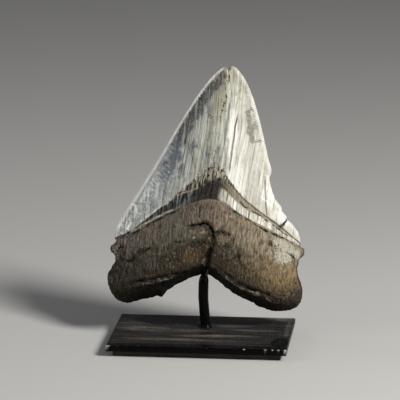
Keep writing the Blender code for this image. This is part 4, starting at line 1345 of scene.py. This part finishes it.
def neck_colour(sheet, settings, grain, body):
    """Neck: near-black columns left and in the middle, brown and a white dashed band at the right, the band
    partly painted light from the right.
    """
    across = sheet.parts(grain)["X"]
    level = sheet.mask("level")
    place = sheet.join(X=sheet.times(level, 10.0), Y=across)
    column = sheet.streak(grain, 1.15, 14.0, 11.0, 0.46, 0.56)
    line = sheet.streak(grain, 0.85, 12.0, 12.0, 0.56, 0.63)
    fleck = sheet.streak(grain, 0.8, 5.0, 14.0, 0.48, 0.56)
    divider = sheet.streak(grain, 1.1, 6.0, 16.0, 0.5, 0.57)
    layer = sheet.streak(place, 0.8, 16.0, 15.0, 0.47, 0.56)
    clouds = sheet.mottle(body, 3.4, 13.0, 0.42, 0.62)
    left = sheet.ramp(across, -6.0, -16.0)
    right = sheet.ramp(across, 1.5, 7.0)
    lower = sheet.times(sheet.ramp(level, 1.62, 1.8), left)
    layers = sheet.mix(layer, (0.05, 0.047, 0.046), (0.3, 0.29, 0.26))
    under_margin = sheet.ramp(sheet.mask("margin"), -8.0, -2.0)
    dark = sheet.coats(
        sheet.mix(column, settings.neck, (0.02, 0.021, 0.023)),
        (divider, sheet.ramp(left, 0.0, 1.0, 0.06, 0.85), (0.15, 0.16, 0.175)),
        (sheet.times(clouds, sheet.rest(left)), 0.5, (0.04, 0.022, 0.015)),
        (lower, 0.5, layers),
        (fleck, sheet.times(sheet.mask("fray"), under_margin), (0.5, 0.465, 0.34)),
    )
    brown = sheet.coats(
        sheet.mix(line, (0.085, 0.065, 0.042), (0.26, 0.22, 0.14)),
        (layer, 0.5, (0.33, 0.3, 0.2)),
        (sheet.ramp(across, 5.0, 14.0, 0.0, 0.65), 1.0, (0.4, 0.36, 0.27)),
    )
    outer = sheet.ramp(across, 18.0, 27.0)
    # Pale dashed band, partly painted light
    band = sheet.coats(
        sheet.mix(column, (0.84, 0.82, 0.74), (0.52, 0.5, 0.43)),
        (line, 0.9, (0.2, 0.175, 0.13)),
        (outer, sheet.times(layer, 0.7), (0.3, 0.27, 0.2)),
    )
    colour = sheet.mix(sheet.mask("band"), sheet.mix(right, dark, brown), band)
    return colour, sheet.plus(sheet.times(column, -0.6), sheet.times(line, 0.5))


def root_colour(sheet, settings, grain, body):
    """Root: grey-brown fibres above with painted glints, granular amber and near-black below, and painted
    shade underneath.
    """
    coarse = sheet.streak(grain, 2.2, 12.0, 20.0, 0.36, 0.64)
    fibre = sheet.streak(grain, 0.8, 3.6, 21.0, 0.44, 0.62)
    thin = sheet.streak(grain, 0.55, 3.0, 22.0, 0.56, 0.66)
    # Paler fibre streaks, painted as glints
    light = sheet.streak(grain, 0.7, 3.4, 26.0, 0.5, 0.66)
    pits = sheet.streak(grain, 1.1, 3.4, 25.0, 0.5, 0.62)
    grains = sheet.mottle(body, 1.0, 23.0, 0.36, 0.66)
    clouds = sheet.mottle(body, 5.0, 24.0, 0.36, 0.64)
    reddish = sheet.mottle(body, 7.0, 27.0, 0.4, 0.62)
    # Dark left to tan right, partly painted light from the right
    bright = sheet.mask("bright")
    ridgeline = sheet.mask("ridgeline")
    upper_tone = sheet.coats(
        sheet.mix(bright, settings.root_dark, settings.root_tan),
        (coarse, 0.35, (0.15, 0.12, 0.085)),
        (reddish, 0.4, (0.2, 0.135, 0.1)),
        (fibre, 0.62, (0.055, 0.041, 0.028)),
        # Painted glints on the upper fibres, brighter at the right
        (light, 0.65, sheet.mix(bright, (0.24, 0.21, 0.165), (0.5, 0.43, 0.31))),
    )
    warm = sheet.ramp(bright, 0.55, 1.0)
    deep = sheet.times(sheet.ramp(ridgeline, 11.0, 1.5, 0.0, 0.94),
                       sheet.ramp(sheet.parts(grain)["X"], -42.0, -32.0, 0.3, 1.0))
    lower_tone = sheet.coats(
        sheet.mix(warm, (0.03, 0.025, 0.017), (0.2, 0.14, 0.07)),
        (grains, 0.45, sheet.mix(warm, (0.085, 0.066, 0.038), (0.24, 0.18, 0.1))),
        # Painted glints in the lower root
        (light, 0.3, sheet.mix(warm, (0.14, 0.11, 0.07), (0.34, 0.27, 0.16))),
        (pits, 0.8, (0.016, 0.012, 0.008)),
        (deep, 1.0, (0.035, 0.026, 0.016)),
    )
    lower = sheet.ramp(sheet.plus(sheet.mask("level"), sheet.times(clouds, 0.22)), 2.4, 2.8)
    colour = sheet.coats(
        sheet.mix(lower, upper_tone, lower_tone),
        (sheet.broken("green", clouds, 0.4, 0.4), 0.5, (0.125, 0.125, 0.095)),
        (sheet.broken("amber", light, 0.8, 0.5), 0.45, settings.amber),
        (thin, 0.5, (0.03, 0.024, 0.018)),
        # Painted shade on the underside below the ridge
        (sheet.ramp(ridgeline, -0.6, -3.0, 0.0, 0.8), 1.0, (0.014, 0.012, 0.009)),
    )
    return colour, sheet.plus(sheet.times(fibre, -0.6), sheet.times(grains, 0.6), sheet.times(pits, -0.7))


def fossil_material(settings):
    """Enamel, neck and root in one material, parted along the enamel's ragged end and the neck's."""
    material, sheet, shader = new_material("fossil_tooth")
    grain = sheet.uv("grain")
    body = object_millimetres(sheet)
    enamel, enamel_height = enamel_colour(sheet, settings, grain, body)
    neck, neck_height = neck_colour(sheet, settings, grain, body)
    root, root_height = root_colour(sheet, settings, grain, body)
    fray = sheet.mask("fray")
    hollow = sheet.mask("hollow")
    inside = sheet.rest(sheet.mask("near_edge"))
    ragged = sheet.mottle(body, 0.6, 31.0, 0.3, 0.7)
    flecks = sheet.mottle(body, 0.9, 32.0, 0.38, 0.62)
    scratch = sheet.mottle(body, 1.6, 33.0, 0.3, 0.7)
    flake = sheet.streak(grain, 0.85, 9.0, 34.0, 0.36, 0.66)
    flake = sheet.times(sheet.math("SUBTRACT", flake, 0.4), fray)
    swing = sheet.times(sheet.math("SUBTRACT", ragged, 0.5), 0.5)
    margin = sheet.plus(sheet.mask("margin"), sheet.plus(swing, sheet.times(flake, 7.0)))
    on_enamel = sheet.ramp(margin, -0.12, 0.12)
    off_enamel = sheet.rest(on_enamel)
    on_neck = sheet.ramp(sheet.plus(sheet.mask("neckline"), swing), -0.3, 0.3)
    shade = sheet.times(sheet.ramp(margin, -0.9, -0.2), off_enamel)
    lip = sheet.times(sheet.ramp(margin, 1.3, 0.4), on_enamel)
    pale_tone = sheet.mix(fray, (0.54, 0.52, 0.43), (0.48, 0.36, 0.21))
    worn = sheet.times(sheet.ramp(hollow, -0.15, -0.7, 0.0, 0.35), inside,
                       sheet.ramp(sheet.mask("ridgeline"), -1.5, 1.0))
    # Darker in hollows, and in cracks and pits
    hollow_dark = sheet.times(sheet.ramp(hollow, 0.15, 0.7, 0.0, 0.65), inside)
    hollow_dark = sheet.math("MAXIMUM", hollow_dark, sheet.ramp(sheet.mask("dark"), 0.15, 0.8, 0.0, 0.96))
    colour = sheet.coats(
        sheet.mix(on_neck, root, neck),
        (shade, 0.75, (0.02, 0.017, 0.013)),
        (on_enamel, 1.0, enamel),
        (lip, 0.6, sheet.mix(ragged, (0.5, 0.4, 0.26), (0.72, 0.68, 0.58))),
        # Pale stains, lips and chips; on the chipped facets this is a painted reflection
        (sheet.broken("pale", flecks, 0.55, 0.35), 0.85, sheet.mix(on_enamel, pale_tone, (0.86, 0.86, 0.82))),
        (worn, 1.0, sheet.mix(on_enamel, (0.34, 0.29, 0.2), (0.6, 0.58, 0.5))),
        (hollow_dark, 1.0, (0.014, 0.011, 0.008)),
    )
    height = sheet.plus(sheet.times(root_height, sheet.rest(on_neck)), sheet.times(neck_height, on_neck))
    height = sheet.plus(sheet.times(height, off_enamel), sheet.times(enamel_height, on_enamel))
    roughness = sheet.plus(sheet.ramp(on_enamel, 0.0, 1.0, ROOT_ROUGHNESS, ENAMEL_ROUGHNESS),
                           sheet.times(scratch, 0.14))
    roughness = sheet.math("ADD", roughness, sheet.times(hollow_dark, 0.2), clamp=True)
    coat = sheet.times(on_enamel, ENAMEL_COAT, inside)
    finish_shader(sheet, shader, colour, roughness, height, FOSSIL_BUMP, FOSSIL_SPECULAR)
    sheet.feed(shader.inputs["Coat Weight"], coat)
    shader.inputs["Coat Roughness"].default_value = ENAMEL_COAT_ROUGHNESS
    return material


def finish_shader(sheet, shader, colour, roughness, height, distance, specular):
    """Feed a material's shader, with the height as a bump of the given distance."""
    bump = sheet.add("ShaderNodeBump", {"Strength": 1.0, "Distance": distance, "Height": height})
    sheet.feed(shader.inputs["Base Color"], colour)
    sheet.feed(shader.inputs["Roughness"], roughness)
    sheet.feed(shader.inputs["Normal"], bump.outputs["Normal"])
    shader.inputs["Specular IOR Level"].default_value = specular


def black_paint(name, colour):
    """Black paint with dust and specks. The plate's masks say where dust, with painted light along its back
    edge, and bare metal show.
    """
    roughness, specular, dust_base, specks, seed, masked = PAINTS[name]
    material, sheet, shader = new_material(name)
    body = object_millimetres(sheet)
    upward = sheet.parts(sheet.add("ShaderNodeNewGeometry").outputs["Normal"])["Z"]
    level = sheet.ramp(upward, 0.3, 0.9)
    mask = sheet.mask("dust") if masked else 0.0
    dust = sheet.group("Dust", vector=body, mask=mask, base=dust_base, seed=seed)
    on_top = sheet.times(dust, sheet.ramp(level, 0.0, 1.0, 0.25, 1.0))
    tone = sheet.mottle(body, 9.0, seed, 0.35, 0.65)
    speck = sheet.mottle(body, 1.1, seed + 2.0, 0.58, 0.74)
    hammered = sheet.mottle(body, 1.6, seed + 1.0, 0.3, 0.7)
    paint = sheet.coats(
        colour,
        (on_top, 1.0, sheet.mix(tone, (0.23, 0.2, 0.165), (0.16, 0.155, 0.135))),
        (speck, sheet.times(level, specks), (0.2, 0.18, 0.15)),
    )
    if masked:
        paint = sheet.mix(sheet.mask("chip"), paint, BARE_STEEL)
    roughness = sheet.ramp(on_top, 0.0, 0.8, roughness, DUST_ROUGHNESS)
    finish_shader(sheet, shader, paint, roughness, hammered, PAINT_BUMP, specular)
    return material


# ---------------------------------------------------------------- the stand's meshes

def finish_piece(piece, material, node):
    """Give a finished piece its material, and put it in place of its solid."""
    piece.data.materials.clear()
    piece.data.materials.append(material)
    only(piece)
    bpy.ops.object.shade_smooth_by_angle(angle=STAND_SMOOTH_BELOW)
    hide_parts(node)
    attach(piece, "root")


def model_slab(name, size, bottom, edge):
    """A plate with rounded edges: a fine sheet extruded upwards in steps."""
    bpy.ops.object.select_all(action="DESELECT")
    cells = [round(length / SHEET_SPACING) for length in size[:2]]
    bpy.ops.mesh.primitive_grid_add(x_subdivisions=cells[0], y_subdivisions=cells[1], size=1.0)
    slab = bpy.context.active_object
    slab.name = name
    slab.scale = ((size[0] - 2.0 * edge) * MM, (size[1] - 2.0 * edge) * MM, 1.0)
    slab.location.z = bottom * MM
    bpy.ops.object.transform_apply(location=True, rotation=False, scale=True)
    turns = [math.radians(angle) for angle in (30.0, 60.0, 90.0)]
    profile = [(edge * (1.0 - math.sin(turn)), edge * (1.0 - math.cos(turn))) for turn in turns]
    profile += [(inset, size[2] - height) for inset, height in reversed(profile)] + [(edge, size[2])]
    bpy.ops.object.mode_set(mode="EDIT")
    bpy.ops.mesh.select_mode(type="FACE")
    bpy.ops.mesh.select_all(action="SELECT")
    last_inset, last_height = edge, 0.0
    for inset, height in profile:
        rise = (height - last_height) * MM
        bpy.ops.mesh.extrude_region_move(TRANSFORM_OT_translate={"value": (0.0, 0.0, rise)})
        grown = [(length - 2.0 * inset) / (length - 2.0 * last_inset) for length in size[:2]]
        bpy.ops.transform.resize(value=(grown[0], grown[1], 1.0), center_override=(0.0, 0.0, 0.0))
        last_inset, last_height = inset, height
    bpy.ops.mesh.select_all(action="SELECT")
    bpy.ops.mesh.normals_make_consistent(inside=False)
    bpy.ops.object.mode_set(mode="OBJECT")
    return slab


def wear_plate(slab, top):
    """Store where dust lies, with painted light along the back edge, and nick the front upper edge down to
    bare metal.
    """
    places = vertex_array(slab.data) / MM
    plan = places[:, :2]
    dust = tint(plan, DUST_AND_LIGHT_AREAS) - tint(plan, CLEAN_AREAS)
    chips = np.zeros(len(places))
    for x, radius in PLATE_CHIPS:
        corner = (x, -0.5 * PLATE_SIZE[1] + 0.15, top - 0.15)
        away = np.linalg.norm(places - corner, axis=1) / radius
        chips = np.maximum(chips, 1.0 - smoothstep(away, 0.8, 2.0))
    places[:, 1] += 0.2 * chips
    slab.data.vertices.foreach_set("co", (places * MM).ravel())
    write_mask(slab.data, "dust", dust)
    write_mask(slab.data, "chip", chips)


def model_bar(name, points, radius_of, rounded):
    """A bent round bar along a smooth curve through millimetre points, converted to a mesh.

    radius_of gives its radius from its places, and rounded says which ends close in a dome.
    """
    shares = 0.5 - 0.5 * np.cos(np.linspace(0.0, math.pi, BAR_STEPS))
    places = smooth_curve(points)(shares)
    steps = np.linalg.norm(np.diff(places, axis=0), axis=1)
    length = np.concatenate([[0.0], np.cumsum(steps)])
    radii = radius_of(places)
    for end, distance in zip(rounded, (length, length[-1] - length)):
        if end:
            short = 1.0 - np.clip(distance / (0.9 * radii), 0.0, 1.0)
            radii = radii * np.sqrt(np.maximum(1.0 - short ** 2, 0.01))
    bpy.ops.object.select_all(action="DESELECT")
    bpy.ops.curve.primitive_nurbs_path_add()
    bar = bpy.context.active_object
    bar.name = name
    curve = bar.data
    curve.splines.clear()
    curve.bevel_depth = MM
    curve.bevel_resolution = BAR_RESOLUTION
    curve.use_fill_caps = True
    curve.twist_mode = "MINIMUM"
    spline = curve.splines.new("POLY")
    spline.points.add(len(places) - 1)
    for point, place, radius in zip(spline.points, places, radii):
        point.co = (*(place * MM), 1.0)
        point.radius = radius
    bpy.ops.object.convert(target="MESH")
    bpy.ops.object.mode_set(mode="EDIT")
    bpy.ops.mesh.select_all(action="SELECT")
    bpy.ops.mesh.remove_doubles(threshold=1e-6)
    bpy.ops.mesh.normals_make_consistent(inside=False)
    bpy.ops.object.mode_set(mode="OBJECT")
    return bar


def hammer(bar, strength, size, weights=None):
    """Dent a bar lightly, or only where the weights say."""
    group = {} if weights is None else {"vertex_group": vertex_group(bar, "dents", weights).name}
    press_clouds(bar, "dents", size * MM, strength, 0.5, texture_coords="LOCAL", **group)
    bar.vertex_groups.clear()


def prong_points(start, stations, front):
    """Millimetre places of a prong: its start, then stations held off one side of the tooth."""
    rows, height, section, _, sign = FRONT_FORM if front else BACK_FORM

    def surface(u, level):
        u, level = np.array([u]), np.array([level])
        plan = plan_places(rows, u, level)[0]
        depth = height(level) * section(from_crest(u), level)
        return np.array([plan[0], sign * depth[0], plan[1]])

    places = [np.array(place) for place in start]
    step = 0.01
    for u, level in stations:
        origin = surface(u, level)
        normal = np.cross(surface(u + step, level) - origin, surface(u, level + step) - origin)
        normal *= sign * np.sign(normal[1]) / np.linalg.norm(normal)
        places.append(origin + normal * (PRONG_RADIUS + PRONG_CLEARANCE))
    return [to_world(*place) / MM for place in places]


# ---------------------------------------------------------------- settings and operators

COLOUR = {"subtype": "COLOR", "min": 0.0, "max": 1.0}
LENGTH = {"unit": "LENGTH", "precision": 5}


class ToothSettings(bpy.types.PropertyGroup):
    """Sizes and colours of the tooth."""

    serration_depth: FloatProperty(
        name="Serration depth", description="From a serration's peak to its notch",
        default=0.00042, min=0.0, max=0.001, **LENGTH)
    root_relief: FloatProperty(
        name="Root relief", description="Height of the coarse relief on the root",
        default=0.0013, min=0.0, max=0.003, **LENGTH)
    slate: FloatVectorProperty(
        name="Slate", description="Darker streaks of the enamel",
        default=(0.2, 0.225, 0.22), **COLOUR)
    slate_light: FloatVectorProperty(
        name="Light slate", description="Lighter streaks of the enamel",
        default=(0.35, 0.385, 0.385), **COLOUR)
    khaki: FloatVectorProperty(
        name="Khaki", description="Light streaks left of the crest",
        default=(0.6, 0.58, 0.47), **COLOUR)
    olive: FloatVectorProperty(
        name="Olive", description="Stain near the tip",
        default=(0.29, 0.27, 0.17), **COLOUR)
    blue: FloatVectorProperty(
        name="Blue", description="Dark mottled stain along the left edge",
        default=(0.095, 0.113, 0.143), **COLOUR)
    cream: FloatVectorProperty(
        name="Cream", description="Enamel right of the crest",
        default=(0.54, 0.525, 0.445), **COLOUR)
    white: FloatVectorProperty(
        name="White", description="Lightest streaks of the enamel",
        default=(0.96, 0.95, 0.88), **COLOUR)
    neck: FloatVectorProperty(
        name="Neck", description="Dark columns of the neck band",
        default=(0.008, 0.008, 0.009), **COLOUR)
    root_dark: FloatVectorProperty(
        name="Dark root", description="Upper root at its left",
        default=(0.14, 0.12, 0.103), **COLOUR)
    root_tan: FloatVectorProperty(
        name="Tan root", description="Upper root at its right",
        default=(0.38, 0.305, 0.2), **COLOUR)
    amber: FloatVectorProperty(
        name="Amber", description="Warm stains of the lower root",
        default=(0.32, 0.21, 0.09), **COLOUR)


class StandSettings(bpy.types.PropertyGroup):
    """Finish of the stand."""

    paint: FloatVectorProperty(
        name="Paint", description="Black paint of bars and plates",
        default=(0.0022, 0.002, 0.0019), **COLOUR)
    foot_paint: FloatVectorProperty(
        name="Foot paint", description="Scuffed paint of the lower plate",
        default=(0.02, 0.019, 0.019), **COLOUR)
    hammering: FloatProperty(
        name="Hammering", description="Depth of the dents in the bars",
        default=0.00018, min=0.0, max=0.0005, **LENGTH)


class StudioSettings(bpy.types.PropertyGroup):
    """Floor and lights."""

    floor_colour: FloatVectorProperty(
        name="Floor", description="Colour of the studio floor",
        default=(0.62, 0.61, 0.59), **COLOUR)
    key_power: FloatProperty(
        name="Key light", description="Power of the large light at the right",
        default=15.0, min=0.0, subtype="POWER")
    fill_power: FloatProperty(
        name="Fill light", description="Power of the light at the left",
        default=1.5, min=0.0, subtype="POWER")
    rim_power: FloatProperty(
        name="Rim light", description="Power of the light behind and left, which edges the crown",
        default=0.5, min=0.0, subtype="POWER")


class FOSSIL_OT_build_tooth(bpy.types.Operator):
    """Model the tooth from two sheets joined along its outline"""

    bl_idname = "fossil.build_tooth"
    bl_label = "Build tooth"

    def execute(self, context):
        noise.seed_set(WANDER_SEED)
        settings = context.scene.fossil_tooth
        front = make_side("fossil_tooth", True, settings.serration_depth / MM)
        back = make_side("tooth_back", False, settings.serration_depth / MM)
        only(front, back)
        bpy.ops.object.join()
        tooth = context.active_object
        bpy.ops.object.mode_set(mode="EDIT")
        bpy.ops.mesh.select_mode(type="VERT")
        bpy.ops.mesh.select_all(action="SELECT")
        bpy.ops.mesh.remove_doubles(threshold=1e-6)
        bpy.ops.mesh.quads_convert_to_tris()
        bpy.ops.object.mode_set(mode="OBJECT")
        drop_fins(tooth)
        bpy.ops.object.mode_set(mode="EDIT")
        bpy.ops.mesh.select_all(action="SELECT")
        bpy.ops.mesh.normals_make_consistent(inside=False)
        bpy.ops.object.mode_set(mode="OBJECT")
        roughen_tooth(tooth, settings.root_relief / MM)
        keep_inside(tooth.data, *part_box("tooth"))
        only(tooth)
        bpy.ops.object.shade_smooth_by_angle(angle=TOOTH_SMOOTH_BELOW)
        write_hollow(tooth.data)
        tooth.data.materials.clear()
        tooth.data.materials.append(fossil_material(settings))
        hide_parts("tooth")
        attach(tooth, "root")
        return {"FINISHED"}


class FOSSIL_OT_build_plates(bpy.types.Operator):
    """Model the two plates of the base"""

    bl_idname = "fossil.build_plates"
    bl_label = "Build plates"

    def execute(self, context):
        settings = context.scene.fossil_stand
        plate = model_slab("upper_plate", PLATE_SIZE, PLATE_BOTTOM, PLATE_EDGE)
        wear_plate(plate, PLATE_TOP)
        finish_piece(plate, black_paint("plate_paint", settings.paint), "base_plate")
        foot = model_slab("foot_plate", FOOT_SIZE, 0.0, FOOT_EDGE)
        finish_piece(foot, black_paint("foot_paint", settings.foot_paint), "base_foot")
        return {"FINISHED"}


class FOSSIL_OT_build_bars(bpy.types.Operator):
    """Model the bent post and its two prongs"""

    bl_idname = "fossil.build_bars"
    bl_label = "Build bars"

    def execute(self, context):
        settings = context.scene.fossil_stand
        paint = black_paint("bar_paint", settings.paint)
        dents = settings.hammering / MM

        def post_radius(places):
            z = places[:, 2]
            narrowing = (POST_RADIUS - POST_END_RADIUS) / (POST_LINE[-1][1] - POST_SHOULDER)
            flare = (POST_FOOT_RADIUS - POST_RADIUS) * np.exp(-((z - PLATE_TOP) / BRAZE_HEIGHT) ** 2)
            return POST_RADIUS - narrowing * np.maximum(0.0, z - POST_SHOULDER) + flare

        def prong_radius(places):
            return PRONG_RADIUS + PRONG_SWELL * (1.0 - smoothstep(places[:, 2], *PRONG_TAPER))

        post = model_bar("post_bar", [(x, POST_Y, z) for x, z in POST_LINE], post_radius, (False, True))
        hammer(post, dents, 3.0)
        z = vertex_array(post.data)[:, 2] / MM
        hammer(post, 1.1, 0.9, np.exp(-((z - PLATE_TOP) / 1.1) ** 2))
        low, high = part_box("post")
        keep_inside(post.data, (low[0], low[1], PLATE_TOP * MM), high)
        finish_piece(post, paint, "post")
        for name, node, start, stations, front in (
            ("front_bar", "front_prong", FRONT_PRONG_START, FRONT_PRONG_STATIONS, True),
            ("back_bar", "back_prong", BACK_PRONG_START, BACK_PRONG_STATIONS, False),
        ):
            bar = model_bar(name, prong_points(start, stations, front), prong_radius, (True, True))
            hammer(bar, 0.6 * dents, 1.4)
            finish_piece(bar, paint, node)
        return {"FINISHED"}


def area_light(name, place, height, size, colour, power):
    data = bpy.data.lights.new(name, "AREA")
    data.shape = "DISK"
    data.size = size
    data.energy = power
    data.color = colour
    light = bpy.data.objects.new(name, data)
    light.location = place
    light.rotation_euler = (Vector((0.0, 0.0, height)) - Vector(place)).to_track_quat("-Z", "Y").to_euler()
    bpy.context.scene.collection.objects.link(light)


class FOSSIL_OT_build_studio(bpy.types.Operator):
    """Lay the floor, hang the lights and set the camera"""

    bl_idname = "fossil.build_studio"
    bl_label = "Build studio"

    def execute(self, context):
        settings = context.scene.fossil_studio
        scene = context.scene
        bpy.ops.object.select_all(action="DESELECT")
        bpy.ops.mesh.primitive_plane_add(size=FLOOR_SIZE)
        floor = context.active_object
        floor.name = "floor"
        material, _, shader = new_material("floor_paint")
        shader.inputs["Base Color"].default_value = rgba(settings.floor_colour)
        shader.inputs["Roughness"].default_value = 0.8
        floor.data.materials.append(material)
        for row in LIGHTS:
            area_light(*row, getattr(settings, row[0] + "_power"))
        world = bpy.data.worlds.new("studio")
        world.use_nodes = True
        background = world.node_tree.nodes["Background"]
        background.inputs["Color"].default_value = rgba(SKY_COLOUR)
        background.inputs["Strength"].default_value = SKY_STRENGTH
        scene.world = world
        scene.view_settings.view_transform = "Standard"
        level = math.cos(CAMERA_ELEVATION)
        back = Vector((math.sin(CAMERA_AZIMUTH) * level, -math.cos(CAMERA_AZIMUTH) * level,
                       math.sin(CAMERA_ELEVATION)))
        data = bpy.data.cameras.new("camera")
        data.lens = CAMERA_LENS
        data.clip_start, data.clip_end = CAMERA_CLIP
        camera = bpy.data.objects.new("camera", data)
        camera.location = CAMERA_TARGET + back * CAMERA_DISTANCE
        camera.rotation_euler = back.to_track_quat("Z", "Y").to_euler()
        scene.collection.objects.link(camera)
        scene.camera = camera
        return {"FINISHED"}


class FOSSIL_PT_panel(bpy.types.Panel):
    """The sidebar panel that lists the operators and their settings"""

    bl_label = "Fossil tooth"
    bl_idname = "FOSSIL_PT_panel"
    bl_space_type = "VIEW_3D"
    bl_region_type = "UI"
    bl_category = "Fossil"

    def draw(self, context):
        column = self.layout.column()
        for operator in OPERATORS:
            column.operator(operator.bl_idname)
        for group in (context.scene.fossil_tooth, context.scene.fossil_stand, context.scene.fossil_studio):
            box = self.layout.box()
            for name in group.bl_rna.properties.keys():
                if name not in ("name", "rna_type"):
                    box.prop(group, name)


OPERATORS = (FOSSIL_OT_build_tooth, FOSSIL_OT_build_plates, FOSSIL_OT_build_bars, FOSSIL_OT_build_studio)
CLASSES = (ToothSettings, StandSettings, StudioSettings) + OPERATORS + (FOSSIL_PT_panel,)


def register():
    for cls in CLASSES:
        bpy.utils.register_class(cls)
    bpy.types.Scene.fossil_tooth = PointerProperty(type=ToothSettings)
    bpy.types.Scene.fossil_stand = PointerProperty(type=StandSettings)
    bpy.types.Scene.fossil_studio = PointerProperty(type=StudioSettings)


def unregister():
    del bpy.types.Scene.fossil_tooth
    del bpy.types.Scene.fossil_stand
    del bpy.types.Scene.fossil_studio
    for cls in reversed(CLASSES):
        bpy.utils.unregister_class(cls)


def main():
    register()
    bpy.ops.fossil.build_tooth()
    bpy.ops.fossil.build_plates()
    bpy.ops.fossil.build_bars()
    bpy.ops.fossil.build_studio()


if __name__ == "__main__":
    main()
